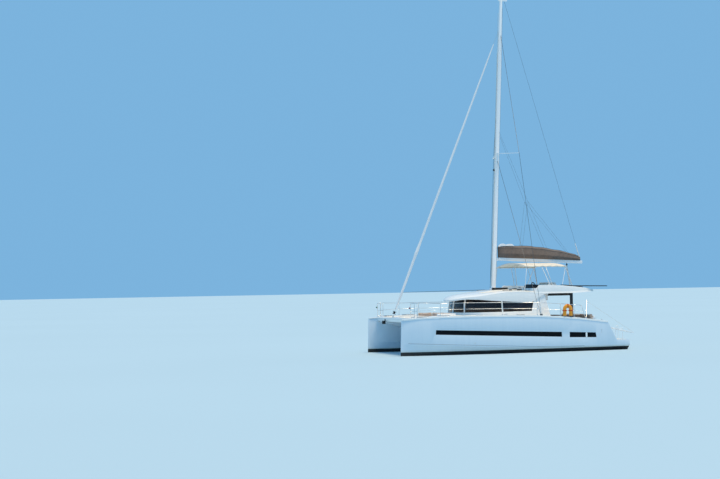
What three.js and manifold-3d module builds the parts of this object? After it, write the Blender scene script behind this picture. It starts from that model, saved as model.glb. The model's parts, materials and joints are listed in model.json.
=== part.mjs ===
// Sailing catamaran with a rigid foredeck, a hollow deck saloon, an open aft cockpit, a raised helm under a
// bimini, a fractional sloop rig with the headsail furled and the mainsail stowed in its bag on the boom.
// Frame in millimetres: +X to the bow, +Y to port, +Z up. Origin on the waterline, on the centreline,
// midway between the stems and the sterns.
import * as THREE from 'three';
import { mergeVertices } from 'three/addons/utils/BufferGeometryUtils.js';
import Module from 'manifold-3d';

const wasm = await Module();
wasm.setup();

// Driving dimensions
const GAP = 0.3;                  // between pieces that touch
const BOW = 5950;                 // stem, forward of the origin
const DECK_AFT = -4760;           // aft end of the side decks
const BEAM_FRONT = 5480;          // front edge of the foredeck between the bows
const BEAM_LOW_Z = 1600;          // and its underside there
const DECK_THICK = 60;
const HULL_Y = 2500;              // hull centre planes at the stems
const PLATFORM_Z = 500;           // swim platforms
const SOLE_Z = 1000;              // saloon and cockpit floor
const WETDECK_Z = 745;            // underside of the bridge deck
const STEM_REVERSE = 0.04;        // how far the stem leans aft for each unit of height
const GLASS_SET_IN = 14;          // hull windows, behind the topside
const DRAFT = 1120;
const MAST_FOOT = { x: -20, z: 3120 };
const MAST_TOP_Z = 18000;
const MAST_RAKE = 0.0507;         // aft for each unit of height
const STAY_TOP_Z = 16400;
const STAY_FOOT = { x: 5440, z: 1845 };
const GOOSENECK = { x: -272, z: 4635 };
const HELM_Y = 1050;

const COLOURS = {
  gelcoat: 0xf2f4f4, antifoul: 0x14171a, deck: 0xf4f2ec, glass: 0x0a1018, alloy: 0xb9c2c9,
  steel: 0xcfd4d8, taupe: 0x6d6157, cushion: 0xa9977f, canvas: 0xe9dcc0, sail: 0xdfe3e6,
  orange: 0xe8740c, black: 0x1b1c1e, wood: 0x8a6a4a, bronze: 0x8c7448, engine: 0x9aa0a3, panel: 0x10151f,
};

// Hull stations: x, top inboard, top outboard, waterline inboard, waterline outboard, keel line, chine height
const STATIONS = [
  [-5970, 1830, 3200, 2080, 2950, -60, 215],
  [-5240, 1800, 3240, 2040, 3000, -150, 225],
  [-4760, 1790, 3265, 2020, 3030, -215, 230],
  [-4100, 1780, 3295, 2000, 3055, -300, 235],
  [-3200, 1775, 3325, 1985, 3080, -395, 240],
  [-2100, 1770, 3350, 1975, 3095, -465, 250],
  [-900, 1770, 3360, 1970, 3100, -500, 270],
  [300, 1775, 3360, 1980, 3090, -510, 305],
  [1600, 1800, 3330, 2020, 3050, -495, 350],
  [2800, 1880, 3235, 2100, 2960, -460, 400],
  [3800, 2000, 3105, 2200, 2850, -415, 440],
  [4600, 2130, 2950, 2300, 2740, -370, 480],
  [5200, 2270, 2790, 2390, 2640, -330, 515],
  [5600, 2380, 2655, 2445, 2565, -300, 540],
  [5850, 2450, 2560, 2475, 2525, -280, 552],
  [BOW, 2478, 2522, 2488, 2512, -270, 560],
];

// Height of the deck edge along the boat: x, z
const SHEER = [
  [-6000, 1290], [-4760, 1450], [-4100, 1540], [-3200, 1645], [-2100, 1740], [-900, 1818],
  [300, 1852], [1600, 1868], [2800, 1876], [3800, 1873], [4600, 1850], [5200, 1812],
  [5600, 1782], [6000, 1745],
];

// Roof along the boat: x, half width, crown height, edge height, foot of the skirt
const ROOF = [
  [-4730, 1830, 3005, 2995, 2935],
  [-4300, 2020, 2997, 2967, 2903],
  [-3500, 2200, 3000, 2935, 2868],
  [-2200, 2320, 3040, 2930, 2868],
  [-1780, 2325, 3065, 2940, 2860],
  [-1040, 2330, 3105, 2960, 2442],
  [-400, 2320, 3118, 2985, 2468],
  [200, 2290, 3100, 2980, 2505],
  [1000, 2180, 2990, 2880, 2560],
  [1600, 1930, 2930, 2790, 2620],
  [2050, 1500, 2865, 2740, 2640],
  [2300, 1050, 2780, 2685, 2605],
  [2440, 700, 2690, 2635, 2562],
  [2500, 350, 2625, 2605, 2538],
];
const ROOF_THICK = 55;

// Saloon wall in plan, port half from the front to the aft end: x, y at deck level and x, y at roof level
const WALL = [
  [2300, 0, 2110, 0],
  [2285, 420, 2095, 390],
  [2210, 820, 2025, 770],
  [2060, 1250, 1885, 1180],
  [1800, 1680, 1640, 1590],
  [1380, 2020, 1240, 1910],
  [800, 2230, 720, 2100],
  [0, 2330, -40, 2190],
  [-1000, 2365, -1000, 2225],
  [-2070, 2365, -1770, 2225],
];
const WALL_FOOT_Z = 1700;
const WALL_TOP_Z = 3000;
const WALL_THICK = 45;
const PANE_THICK = 12;

// Side view of the saloon windows: x, z
const WINDOW_BAND = [[2600, 1985], [2600, 2720], [1900, 2700], [500, 2590], [-1185, 2500], [-1065, 2015]];
const BARS = { front: 45, side: [450, 505], corner: [2020, 1070], cornerTurn: 0.55, half: 30 };
const HULL_WINDOW_FORE = [[4325, 1000], [4300, 1216], [-2165, 972], [-2180, 735]];
const HULL_WINDOW_AFT = [[-2600, 700], [-2600, 957], [-4045, 897], [-4085, 660]];

// Basic shapes
function at(table, x, column) {
  if (x <= table[0][0]) return table[0][column];
  for (let i = 1; i < table.length; i += 1) {
    if (x <= table[i][0]) {
      const t = (x - table[i - 1][0]) / (table[i][0] - table[i - 1][0]);
      return table[i - 1][column] + t * (table[i][column] - table[i - 1][column]);
    }
  }
  return table[table.length - 1][column];
}

const sheer = (x) => at(SHEER, x, 1);
const topside = (x) => at(STATIONS, x, 2);
const mastX = (z) => MAST_FOOT.x - (z - MAST_FOOT.z) * MAST_RAKE;

function toSolid(geometry) {
  const bare = new THREE.BufferGeometry();
  bare.setAttribute('position', geometry.getAttribute('position').clone());
  if (geometry.index) bare.setIndex(geometry.index.clone());
  const merged = mergeVertices(bare, 1e-4);
  const mesh = new wasm.Mesh({
    numProp: 3,
    vertProperties: new Float32Array(merged.getAttribute('position').array),
    triVerts: new Uint32Array(merged.index.array),
  });
  mesh.merge();
  const solid = new wasm.Manifold(mesh);
  return solid.volume() < 0 ? flipped(merged) : solid;
}

function flipped(geometry) {
  const index = Array.from(geometry.index.array);
  for (let i = 0; i < index.length; i += 3) [index[i], index[i + 1]] = [index[i + 1], index[i]];
  return new wasm.Manifold(new wasm.Mesh({
    numProp: 3,
    vertProperties: new Float32Array(geometry.getAttribute('position').array),
    triVerts: new Uint32Array(index),
  }));
}

function toGeometry(solid) {
  const mesh = solid.getMesh();
  const geometry = new THREE.BufferGeometry();
  const places = [];
  for (let i = 0; i < mesh.vertProperties.length; i += mesh.numProp) {
    places.push(mesh.vertProperties[i], mesh.vertProperties[i + 1], mesh.vertProperties[i + 2]);
  }
  geometry.setAttribute('position', new THREE.Float32BufferAttribute(places, 3));
  geometry.setIndex(Array.from(mesh.triVerts));
  geometry.computeVertexNormals();
  return geometry;
}

const join = (...solids) => solids.reduce((a, b) => a.add(b));
const cut = (solid, ...tools) => tools.reduce((a, b) => a.subtract(b), solid);
const common = (...solids) => solids.reduce((a, b) => a.intersect(b));

function box(x0, x1, y0, y1, z0, z1) {
  const geometry = new THREE.BoxGeometry(x1 - x0, y1 - y0, z1 - z0);
  geometry.translate((x0 + x1) / 2, (y0 + y1) / 2, (z0 + z1) / 2);
  return toSolid(geometry);
}

function outline(points) {
  return new THREE.Shape(points.map(([u, v]) => new THREE.Vector2(u, v)));
}

// A side view outline given as x, z, from y0 to y1
function sidePrism(points, y0, y1) {
  const geometry = new THREE.ExtrudeGeometry(outline(points), { depth: y1 - y0, bevelEnabled: false });
  geometry.rotateX(Math.PI / 2);
  geometry.translate(0, y1, 0);
  return toSolid(geometry);
}

// A plan outline given as x, y, from z0 to z1
function planPrism(points, z0, z1) {
  const geometry = new THREE.ExtrudeGeometry(outline(points), { depth: z1 - z0, bevelEnabled: false });
  geometry.translate(0, 0, z0);
  return toSolid(geometry);
}

// Rings of points with the same count, joined in order. An end is closed by a fan about its middle, or, where
// the ring is a band that goes out and comes back, by a strip from each point to the one across from it.
function loft(rings, band = false) {
  const count = rings[0].length;
  const places = rings.flat().flatMap((p) => [p[0], p[1], p[2]]);
  const index = [];
  for (let i = 0; i + 1 < rings.length; i += 1) {
    for (let j = 0; j < count; j += 1) {
      const a = i * count + j;
      const b = i * count + ((j + 1) % count);
      index.push(a, b, b + count, a, b + count, a + count);
    }
  }
  const ends = [rings[0], rings[rings.length - 1]];
  ends.forEach((ring, end) => {
    const start = end * (rings.length - 1) * count;
    const face = (a, b, c) => index.push(...(end ? [a, b, c] : [c, b, a]));
    if (band) {
      for (let j = 0; j < count / 2 - 1; j += 1) {
        const across = count - 1 - j;
        face(start + j, start + j + 1, start + across - 1);
        face(start + j, start + across - 1, start + across);
      }
      return;
    }
    const centre = places.length / 3;
    places.push(...[0, 1, 2].map((k) => ring.reduce((sum, p) => sum + p[k], 0) / count));
    for (let j = 0; j < count; j += 1) face(start + j, start + ((j + 1) % count), centre);
  });
  const geometry = new THREE.BufferGeometry();
  geometry.setAttribute('position', new THREE.Float32BufferAttribute(places, 3));
  geometry.setIndex(index);
  return toSolid(geometry);
}

function rod(from, to, radius, sides = 8) {
  const a = new THREE.Vector3(...from);
  const b = new THREE.Vector3(...to);
  const geometry = new THREE.CylinderGeometry(radius, radius, a.distanceTo(b), sides);
  const up = new THREE.Vector3(0, 1, 0);
  geometry.applyQuaternion(new THREE.Quaternion().setFromUnitVectors(up, b.clone().sub(a).normalize()));
  const middle = a.add(b).multiplyScalar(0.5);
  geometry.translate(middle.x, middle.y, middle.z);
  return toSolid(geometry);
}

// A bent tube through points, whose runs reach a little past each bend
function pipe(points, radius, sides = 8) {
  const reach = radius * 0.35;
  return join(...points.slice(1).map((p, i) => {
    const a = new THREE.Vector3(...points[i]);
    const b = new THREE.Vector3(...p);
    const step = b.clone().sub(a).setLength(reach);
    const from = i > 0 ? a.sub(step) : a;
    const to = i + 2 < points.length ? b.add(step) : b;
    return rod(from.toArray(), to.toArray(), radius, sides);
  }));
}

const mirror = (solid) => solid.mirror([0, 1, 0]);

// Hulls and decks
function hullRing(row, grow, topZ) {
  const [x, inTop, outTop, inLow, outLow, keel, chine] = row;
  const middle = (inLow + outLow) / 2;
  const half = (outLow - inLow) / 2 + grow;
  const stepOut = 0.24 * (outTop - outLow);
  const stepIn = 0.24 * (inLow - inTop);
  const lean = STEM_REVERSE * Math.max(0, (x - 4600) / (BOW - 4600));
  const below = [];
  for (let i = 0; i <= 8; i += 1) {
    const t = (i * Math.PI) / 8;
    below.push([middle - half * Math.cos(t), (keel - grow) * Math.sin(t)]);
  }
  const ring = [
    [inTop - grow, topZ + grow], [inTop + 8 - grow, chine], [inTop + stepIn - grow, chine - 35],
    ...below,
    [outTop - stepOut + grow, chine - 35], [outTop - 8 + grow, chine], [outTop + grow, topZ + grow],
  ];
  return ring.map(([y, z]) => [x - lean * z, y, z]);
}

function hullTop(x) {
  if (x < -5239) return PLATFORM_Z;
  if (x < DECK_AFT - 1) return PLATFORM_Z + ((x + 5240) / (DECK_AFT + 5240)) * (1390 - PLATFORM_Z);
  return sheer(x) - DECK_THICK - GAP;
}

const hullBody = (grow = 0) => loft(STATIONS.map((row, i) => {
  const end = i === 0 ? -grow : (i === STATIONS.length - 1 ? grow : 0);
  return hullRing([row[0] + end, ...row.slice(1)], grow, hullTop(row[0]));
}));

const ENGINE_BAY = { x0: -4400, x1: -3400, y0: 2190, y1: 2850, z0: -40 };
const STEPS = [[-4520, 1210], [-4760, 970], [-5000, 735]];
const STEP_Y = [1900, 3130];
const STEP_RUN = 240;

function hullPort() {
  const skin = hullBody();
  const core = hullBody(-GLASS_SET_IN);
  const windows = [HULL_WINDOW_FORE, HULL_WINDOW_AFT].map((w) => cut(sidePrism(w, 2550, 3600), core));
  const bay = box(ENGINE_BAY.x0, ENGINE_BAY.x1, ENGINE_BAY.y0, ENGINE_BAY.y1, ENGINE_BAY.z0, 2000);
  const steps = STEPS.map(([x, z]) => box(x - STEP_RUN, x, STEP_Y[0], STEP_Y[1], z, 2000));
  const bore = rod([RUDDER.x, RUDDER.y, -500], [RUDDER.x, RUDDER.y, RUDDER.stockTop], RUDDER.stock + 0.8, 24);
  return cut(skin, ...windows, bay, ...steps, bore);
}

// A convex outline moved in by a distance all round
function inset(points, distance) {
  const turn = Math.sign(THREE.ShapeUtils.area(points.map(([u, v]) => new THREE.Vector2(u, v))));
  const sides = points.map(([u, v], i) => {
    const [p, q] = points[(i + 1) % points.length];
    const length = Math.hypot(p - u, q - v);
    const normal = [(-turn * (q - v)) / length, (turn * (p - u)) / length];
    return { normal, offset: normal[0] * u + normal[1] * v + distance };
  });
  return sides.map((b, i) => {
    const a = sides[(i + sides.length - 1) % sides.length];
    const det = a.normal[0] * b.normal[1] - a.normal[1] * b.normal[0];
    return [
      (a.offset * b.normal[1] - b.offset * a.normal[1]) / det,
      (a.normal[0] * b.offset - b.normal[0] * a.offset) / det,
    ];
  });
}

function hullPane(points) {
  const blank = sidePrism(inset(points, GAP * 2), 2550, 3600);
  return cut(common(blank, hullBody(-1)), hullBody(-GLASS_SET_IN + GAP));
}

function sheerSlab(topShift, bottomZ) {
  return loft(SHEER.map(([x, z]) => {
    const low = bottomZ ?? z - DECK_THICK;
    return [[x, -3700, low], [x, 3700, low], [x, 3700, z + topShift], [x, -3700, z + topShift]];
  }));
}

function wallPoints(level, setIn) {
  const column = level === 'foot' ? 0 : 2;
  const port = WALL.map((row) => [row[column], row[column + 1]]);
  const all = [...port.slice(1).reverse().map(([x, y]) => [x, -y]), ...port];
  return all.map(([x, y], i) => {
    const before = all[Math.max(0, i - 1)];
    const after = all[Math.min(all.length - 1, i + 1)];
    const dx = after[0] - before[0];
    const dy = after[1] - before[1];
    const length = Math.hypot(dx, dy);
    return [x - (dy / length) * setIn, y + (dx / length) * setIn];
  });
}

function wallBand(outer, inner) {
  const ring = (level, z) => {
    const out = wallPoints(level, outer);
    const back = wallPoints(level, inner).reverse();
    return [...out, ...back].map(([x, y]) => [x, y, z]);
  };
  return loft([ring('foot', WALL_FOOT_Z), ring('top', WALL_TOP_Z)], true);
}

function deck() {
  const rim = STATIONS.filter((row) => row[0] >= DECK_AFT).map((row) => [row[0], row[2] + 8]);
  rim[rim.length - 1] = [BOW - 60, HULL_Y + 24];
  const port = [...rim, [BOW - 60, HULL_Y - 24], [5600, 2372], [BEAM_FRONT, 2335]];
  const edge = [...port, ...port.slice().reverse().map(([x, y]) => [x, -y])];
  const plan = planPrism(edge, 1000, 2200);
  const well = wallPoints('foot', WALL_THICK + 12);
  const [star, portEnd] = [well[0], well[well.length - 1]];
  const inside = planPrism([
    ...well, [portEnd[0] - 30, 1800], [DECK_AFT - 100, 1800], [DECK_AFT - 100, -1800], [star[0] - 30, -1800],
  ], 900, 2300);
  const slab = common(plan, sheerSlab(0));
  return cut(slab, inside, foredeckWell(), ...hatchCuts());
}

const LOUNGE = {
  x0: 2650, x1: 4050, y: 1450, floor: 1480, seatFore: 3620, seat: 1660, back: 1965,
  cushion: 1775, cushionBack: 1990,
};
const foredeckWell = () => box(LOUNGE.x0, LOUNGE.x1, -LOUNGE.y, LOUNGE.y, LOUNGE.floor, 2200);

// Hatch lids lie in a rebate of the deck: name, x aft, x forward, y from, y to
const HATCHES = [
  ['engine_hatch_port', -4360, -3440, 2215, 2825],
  ['engine_hatch_starboard', -4360, -3440, -2825, -2215],
  ['anchor_hatch', 4350, 5050, -420, 420],
];
const LID_THICK = 30;
const LID_EDGE = 6;
const LEDGE = 25;

// Height and slope of the deck over a hatch
function deckLine(x0, x1) {
  return { z: sheer((x0 + x1) / 2), slope: (sheer(x1) - sheer(x0)) / (x1 - x0) };
}

function hatchBlock(x0, x1, y0, y1, top, bottom) {
  const line = deckLine(x0, x1);
  const middle = (x0 + x1) / 2;
  const z = (x) => line.z + (x - middle) * line.slope;
  const corners = [[x0, bottom], [x1, bottom], [x1, top], [x0, top]];
  return sidePrism(corners.map(([x, lift]) => [x, z(x) + lift]), y0, y1);
}

function hatchCuts() {
  return HATCHES.flatMap(([, x0, x1, y0, y1]) => [
    hatchBlock(x0 - LID_EDGE, x1 + LID_EDGE, y0 - LID_EDGE, y1 + LID_EDGE, 60, -LID_THICK - GAP),
    hatchBlock(x0 + LEDGE, x1 - LEDGE, y0 + LEDGE, y1 - LEDGE, 60, -200),
  ]);
}

const lid = ([, x0, x1, y0, y1]) => hatchBlock(x0, x1, y0, y1, 0, -LID_THICK);

function bridgeDeck() {
  const under = (x) => sheer(x) - DECK_THICK - GAP;
  const profile = [
    [-4850, 800], [-4700, WETDECK_Z], [2500, WETDECK_Z], [3300, 900], [4300, 1250], [5150, 1500],
    [BEAM_FRONT, BEAM_LOW_Z], ...[BEAM_FRONT, 5200, 4600, 3800, 2800, 2330].map((x) => [x, under(x)]),
    [2330, SOLE_Z], [-4850, SOLE_Z],
  ];
  const locker = box(4420, 4980, -340, 340, 1500, 2200);
  const hull = hullBody(GAP);
  return cut(sidePrism(profile, -2420, 2420), hull, mirror(hull), foredeckWell(), locker);
}

// Roof
function roofRing(row, outerOnly, drop) {
  const [x, half, crown, edge, foot] = row;
  const setIn = outerOnly ? 0 : ROOF_THICK;
  const shares = [1, 0.7, 0.35, 0, -0.35, -0.7, -1];
  const width = half - setIn;
  const arch = shares.map((s) => {
    const y = s * (Math.abs(s) === 1 ? width - 25 : width);
    return [x, y, crown - (crown - edge) * s * s - setIn - drop];
  });
  return [[x, width, foot - drop], ...arch, [x, -width, foot - drop]];
}

function roofShell() {
  return loft(ROOF.map((row) => [...roofRing(row, true, 0), ...roofRing(row, false, 0).reverse()]), true);
}

// Everything above the underside of the roof
function overRoof() {
  return loft(ROOF.map((row) => {
    const under = roofRing(row, false, GAP);
    const last = under.length - 1;
    const over = under.map(([x, y], i) => (
      i === 0 || i === last ? [x, Math.sign(y) * 4200, row[4]] : [x, y * 1.8, 4000]
    ));
    return [...over, ...under.reverse()];
  }), true);
}

// Everything below the top of the roof
function underRoofTop() {
  return loft(ROOF.map((row) => [[row[0], row[1], 0], ...roofRing(row, true, -GAP), [row[0], -row[1], 0]]));
}

const HELM_WELL = { x0: -2250, x1: -1600, y0: 560, y1: 1540, floor: 2560, wall: 40 };

function roof() {
  const w = HELM_WELL;
  const tray = box(w.x0 - w.wall, w.x1 + w.wall, w.y0 - w.wall, w.y1 + w.wall, w.floor - w.wall, 2960);
  return cut(join(roofShell(), tray), box(w.x0, w.x1, w.y0, w.y1, w.floor, 3400));
}

// Flybridge coaming: x, top height
const COAMING = [[-1270, 2985], [-1550, 3290], [-2720, 3262], [-3560, 3192], [-4450, 3088], [-4700, 3015]];
const COAMING_IN = 35;
const COAMING_THICK = 170;

function coamingSide(grow = 0) {
  return loft(COAMING.map(([x, top]) => {
    const out = at(ROOF, x, 1) - COAMING_IN + grow;
    const back = out - COAMING_THICK - 2 * grow;
    return [[x, back, 2800], [x, out, 2800], [x, out - 20, top + grow], [x, back + 20, top + grow]];
  }));
}

function flybridgeCoaming() {
  const front = [[-1330, 2800], [-1410, 3140], [-1510, 3140], [-1480, 2800]];
  const port = coamingSide();
  return cut(join(port, mirror(port), sidePrism(front, -2150, 2150)), underRoofTop());
}

function cabinWall() {
  const band = wallBand(0, WALL_THICK);
  const [cornerX, cornerY] = BARS.corner;
  const corner = box(-400, 400, -BARS.half, BARS.half, 1900, 2800);
  const bars = join(
    box(1700, 2400, -BARS.front, BARS.front, 1900, 2800),
    box(...BARS.side, -2500, 2500, 1900, 2800),
    turned(corner, [cornerX, cornerY, 0], BARS.cornerTurn),
    turned(corner, [cornerX, -cornerY, 0], -BARS.cornerTurn),
  );
  const openings = cut(sidePrism(WINDOW_BAND, -2600, 2600), bars);
  return cut(band, openings, sheerSlab(GAP, 0), overRoof());
}

function turned(solid, place, angle) {
  return solid.rotate([0, 0, (angle * 180) / Math.PI]).translate(place);
}

function glassBand() {
  const edge = 28;
  const wide = WINDOW_BAND.map(([x, z]) => [x + (x < 0 ? -edge : 0), z + (z < 2300 ? -edge : edge)]);
  const band = cut(wallBand(WALL_THICK - 5, WALL_THICK + GAP + PANE_THICK), wallBand(-60, WALL_THICK + GAP));
  return cut(common(band, sidePrism(wide, -2600, 2600)), overRoof());
}

function panes() {
  const band = glassBand();
  const split = BARS.corner[1] - 5;
  const front = common(band, box(1500, 2600, -split, split, 1500, 3200));
  const sides = cut(band, box(1500, 2600, -split - 2, split + 2, 1500, 3200));
  return {
    front,
    port: common(sides, box(-1500, 2600, 0, 2600, 1500, 3200)),
    starboard: common(sides, box(-1500, 2600, -2600, 0, 1500, 3200)),
  };
}

// Keels, rudders and drives
const RUDDER = { x: -4930, y: 2530, stock: 32, stockTop: 60, top: -215, bottom: -1010, fore: 150, aft: 330 };

function foil(x, chord, thick, y, z) {
  const shape = [[0, 0], [0.08, 0.62], [0.25, 1], [0.5, 0.88], [0.8, 0.4], [1, 0.06]];
  const port = shape.map(([u, v]) => [x - u * chord, y + (v * thick) / 2, z]);
  const star = shape.slice(1).reverse().map(([u, v]) => [x - u * chord, y - (v * thick) / 2, z]);
  return [...port, ...star];
}

function keel() {
  const body = loft([foil(1980, 1560, 190, 2535, -DRAFT), foil(2080, 1900, 250, 2535, -300)]);
  return cut(body, hullBody(GAP));
}

function rudder() {
  const blade = loft([
    foil(RUDDER.x + RUDDER.fore - 60, RUDDER.fore + RUDDER.aft - 150, 45, RUDDER.y, RUDDER.bottom),
    foil(RUDDER.x + RUDDER.fore, RUDDER.fore + RUDDER.aft, 62, RUDDER.y, RUDDER.top),
  ]);
  const { x, y } = RUDDER;
  return join(blade, rod([x, y, RUDDER.top - 40], [x, y, RUDDER.stockTop - 2], RUDDER.stock, 24));
}

const DRIVE = { x: -3900, y: 2530, z: -720 };

function saildrive() {
  const leg = loft([
    foil(DRIVE.x + 130, 330, 110, DRIVE.y, DRIVE.z),
    foil(DRIVE.x + 170, 420, 150, DRIVE.y, -250),
  ]);
  const pod = new THREE.LatheGeometry([
    [0, 260], [45, 215], [72, 120], [78, -60], [66, -230], [0, -230],
  ].map(([r, z]) => new THREE.Vector2(r, z)), 16);
  pod.rotateZ(-Math.PI / 2);
  pod.translate(DRIVE.x, DRIVE.y, DRIVE.z);
  return cut(join(leg, toSolid(pod)), hullBody(GAP));
}

function propeller() {
  const start = DRIVE.x - 230 - 0.8;
  const hub = new THREE.LatheGeometry([
    [0, 0], [62, 0], [58, -90], [30, -150], [0, -165],
  ].map(([r, z]) => new THREE.Vector2(r, z)), 16);
  hub.rotateZ(-Math.PI / 2);
  const blades = [0, 120, 240].map((angle) => {
    const blade = loft([
      [[-16, -40, 40], [16, 40, 40], [22, 34, 40], [-10, -46, 40]],
      [[-20, -78, 130], [20, 78, 130], [28, 70, 130], [-12, -86, 130]],
      [[-8, -50, 225], [8, 50, 225], [13, 44, 225], [-3, -56, 225]],
    ]);
    return blade.translate([-45, 0, 0]).rotate([angle, 0, 0]);
  });
  return join(toSolid(hub), ...blades).translate([start, DRIVE.y, DRIVE.z]);
}

const engine = () => join(
  box(-4250, -3560, 2290, 2750, ENGINE_BAY.z0 + GAP, 470),
  box(-4150, -3700, 2360, 2680, 460, 590),
);

// Rig
function mastRing(z, length, width) {
  const ring = [];
  for (let i = 0; i < 16; i += 1) {
    const t = (i * Math.PI) / 8;
    ring.push([mastX(z) + (length / 2) * Math.cos(t), (width / 2) * Math.sin(t), z]);
  }
  return ring;
}

const mastBody = (grow = 0) => loft([
  mastRing(3000, 240 + grow, 150 + grow), mastRing(14500, 240 + grow, 150 + grow),
  mastRing(MAST_TOP_Z, 170 + grow, 110 + grow),
]);

// The gooseneck's pin leans aft with the mast, and the pieces on it are made upright about it
function onGooseneck(solid) {
  const lean = (-Math.atan(MAST_RAKE) * 180) / Math.PI;
  return solid.rotate([0, lean, 0]).translate([GOOSENECK.x, 0, GOOSENECK.z]);
}

const TONGUE = { half: 49.5, radius: 26 };

function mast() {
  const foot = rod([MAST_FOOT.x, 0, 3000], [MAST_FOOT.x, 0, 3175], 190, 20);
  const ears = [-70, 50].map((z) => onGooseneck(box(-33, 120, -32, 32, z, z + 20)));
  const pin = onGooseneck(rod([0, 0, -65], [0, 0, 65], 12, 16));
  const top = mastX(MAST_TOP_Z);
  const crane = box(top - 330, top + 150, -45, 45, MAST_TOP_Z - 60, MAST_TOP_Z - 10);
  return cut(join(mastBody(), foot, ...ears, pin, crane), underRoofTop());
}

function spreader() {
  const z = 10050;
  const arm = (y, x, half, thick, lift) => [
    [x + half, y, z + lift - thick / 2], [x + half * 0.3, y, z + lift - thick / 2],
    [x - half, y, z + lift], [x + half * 0.3, y, z + lift + thick / 2], [x + half, y, z + lift + thick / 2],
  ];
  const body = loft([arm(40, -375, 70, 46, 0), arm(1600, -850, 42, 30, -110)]);
  return cut(body, mastBody(GAP * 2));
}

const CHAINPLATE = { x: -1150, y: 3200 };

function shroud() {
  const tip = [-880, 1612, 9945];
  const high = [mastX(STAY_TOP_Z) - 10, 30, STAY_TOP_Z - 150];
  const low = [mastX(9800), 40, 9750];
  const foot = [CHAINPLATE.x, CHAINPLATE.y, sheer(CHAINPLATE.x) + 60];
  const plate = box(CHAINPLATE.x - 70, CHAINPLATE.x + 70, CHAINPLATE.y - 12, CHAINPLATE.y + 12,
    sheer(CHAINPLATE.x) - 20, foot[2] + 20);
  const wires = join(pipe([high, tip, foot], 8, 6), rod(low, [foot[0] + 40, foot[1], foot[2]], 8, 6));
  return cut(join(wires, plate), mastBody(GAP * 2), sheerSlab(GAP, 0));
}

function boomRing(x, low, height, width) {
  return [
    [x, -width / 2, low + 25], [x, -width / 2 + 22, low], [x, width / 2 - 22, low], [x, width / 2, low + 25],
    [x, width / 2, low + height], [x, -width / 2, low + height],
  ];
}

const BOOM = { fore: -345, aft: -5040, foreZ: 4575, aftZ: 4375, height: 150, width: 110 };
const boomLow = (x) => BOOM.foreZ + ((x - BOOM.fore) / (BOOM.aft - BOOM.fore)) * (BOOM.aftZ - BOOM.foreZ);

function boom() {
  const bar = loft([BOOM.fore, BOOM.aft].map((x) => boomRing(x, boomLow(x), BOOM.height, BOOM.width)));
  const { half, radius } = TONGUE;
  const eye = rod([0, 0, -half], [0, 0, half], radius, 20);
  const tongue = join(box(-143, 0, -radius, radius, -half, half), eye);
  const hole = rod([0, 0, -half - 30], [0, 0, half + 30], 13, 16);
  return cut(join(bar, onGooseneck(tongue)), onGooseneck(hole));
}

// Sail bag: x, top height, half width low, half width high
const BAG = [
  [-335, 5330, 80, 35], [-620, 5345, 140, 55], [-1600, 5335, 165, 70], [-2200, 5305, 165, 70],
  [-2840, 5230, 160, 65], [-3800, 5075, 140, 55], [-4660, 4855, 105, 40], [-4930, 4735, 70, 30],
];

const sailBag = () => loft(BAG.map(([x, top, low, high]) => {
  const foot = boomLow(x) + BOOM.height + GAP;
  const rise = top - foot;
  const half = [
    [45, foot], [low * 0.85, foot + rise * 0.1], [low, foot + rise * 0.33],
    [high + 12, foot + rise * 0.85], [high * 0.5, top],
  ];
  return [...half.map(([y, z]) => [x, y, z]), ...half.slice().reverse().map(([y, z]) => [x, -y, z])];
}));

const stayPoint = (z) => {
  const top = mastX(STAY_TOP_Z) + 80;
  return [STAY_FOOT.x + ((z - STAY_FOOT.z) / (STAY_TOP_Z - STAY_FOOT.z)) * (top - STAY_FOOT.x), 0, z];
};

function roundRings(levels) {
  return loft(levels.map(([z, radius]) => {
    const [x] = stayPoint(z);
    const ring = [];
    for (let i = 0; i < 10; i += 1) {
      const t = (i * Math.PI) / 5;
      ring.push([x + radius * Math.cos(t), radius * Math.sin(t), z]);
    }
    return ring;
  }));
}

function furledJib() {
  const levels = [
    [1700, 10], [2180, 10], [2240, 45], [2900, 66], [4700, 72], [5050, 88], [5450, 68], [10000, 60],
    [14800, 42], [15600, 26], [15700, 10], [STAY_TOP_Z + 60, 10],
  ];
  const eye = box(STAY_FOOT.x - 60, STAY_FOOT.x + 30, -14, 14, 1700, sheer(STAY_FOOT.x) + 70);
  return cut(join(roundRings(levels), eye), mastBody(GAP * 2), sheerSlab(GAP, 0));
}

const DRUM_Z = 1990;

function furlerDrum() {
  const bore = 10.5;
  const profile = [
    [bore, 0], [95, 0], [95, 14], [50, 18], [50, 100], [95, 104], [95, 118], [bore, 118], [bore, 0],
  ];
  const drum = new THREE.LatheGeometry(profile.map(([r, z]) => new THREE.Vector2(r, z)), 20);
  drum.rotateX(Math.PI / 2);
  const [x] = stayPoint(DRUM_Z);
  const lean = Math.atan2(stayPoint(3000)[0] - stayPoint(2000)[0], 1000);
  drum.rotateY(lean);
  drum.translate(x, 0, DRUM_Z);
  return toSolid(drum);
}

// Bimini over the helm
const BIMINI = {
  fore: -1010, foreDrop: 10, aft: -3220, aftDrop: 30, half: 1880, edge: 4245, crown: 4445,
  thick: 14, tube: 16,
};

function biminiZ(y, drop = 0) {
  return BIMINI.crown - (BIMINI.crown - BIMINI.edge) * (y / BIMINI.half) ** 2 - drop;
}

function biminiCanopy() {
  const shares = [-1, -0.8, -0.5, -0.2, 0.2, 0.5, 0.8, 1];
  const stations = [[BIMINI.fore, BIMINI.foreDrop], [-1650, 0], [-2650, 0], [BIMINI.aft, BIMINI.aftDrop]];
  return loft(stations.map(([x, ends]) => {
    const over = shares.map((s) => [x, s * BIMINI.half, biminiZ(s * BIMINI.half, ends)]);
    const under = over.slice().reverse().map(([u, y, z]) => [u, y, z - BIMINI.thick]);
    return [...over, ...under];
  }), true);
}

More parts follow.
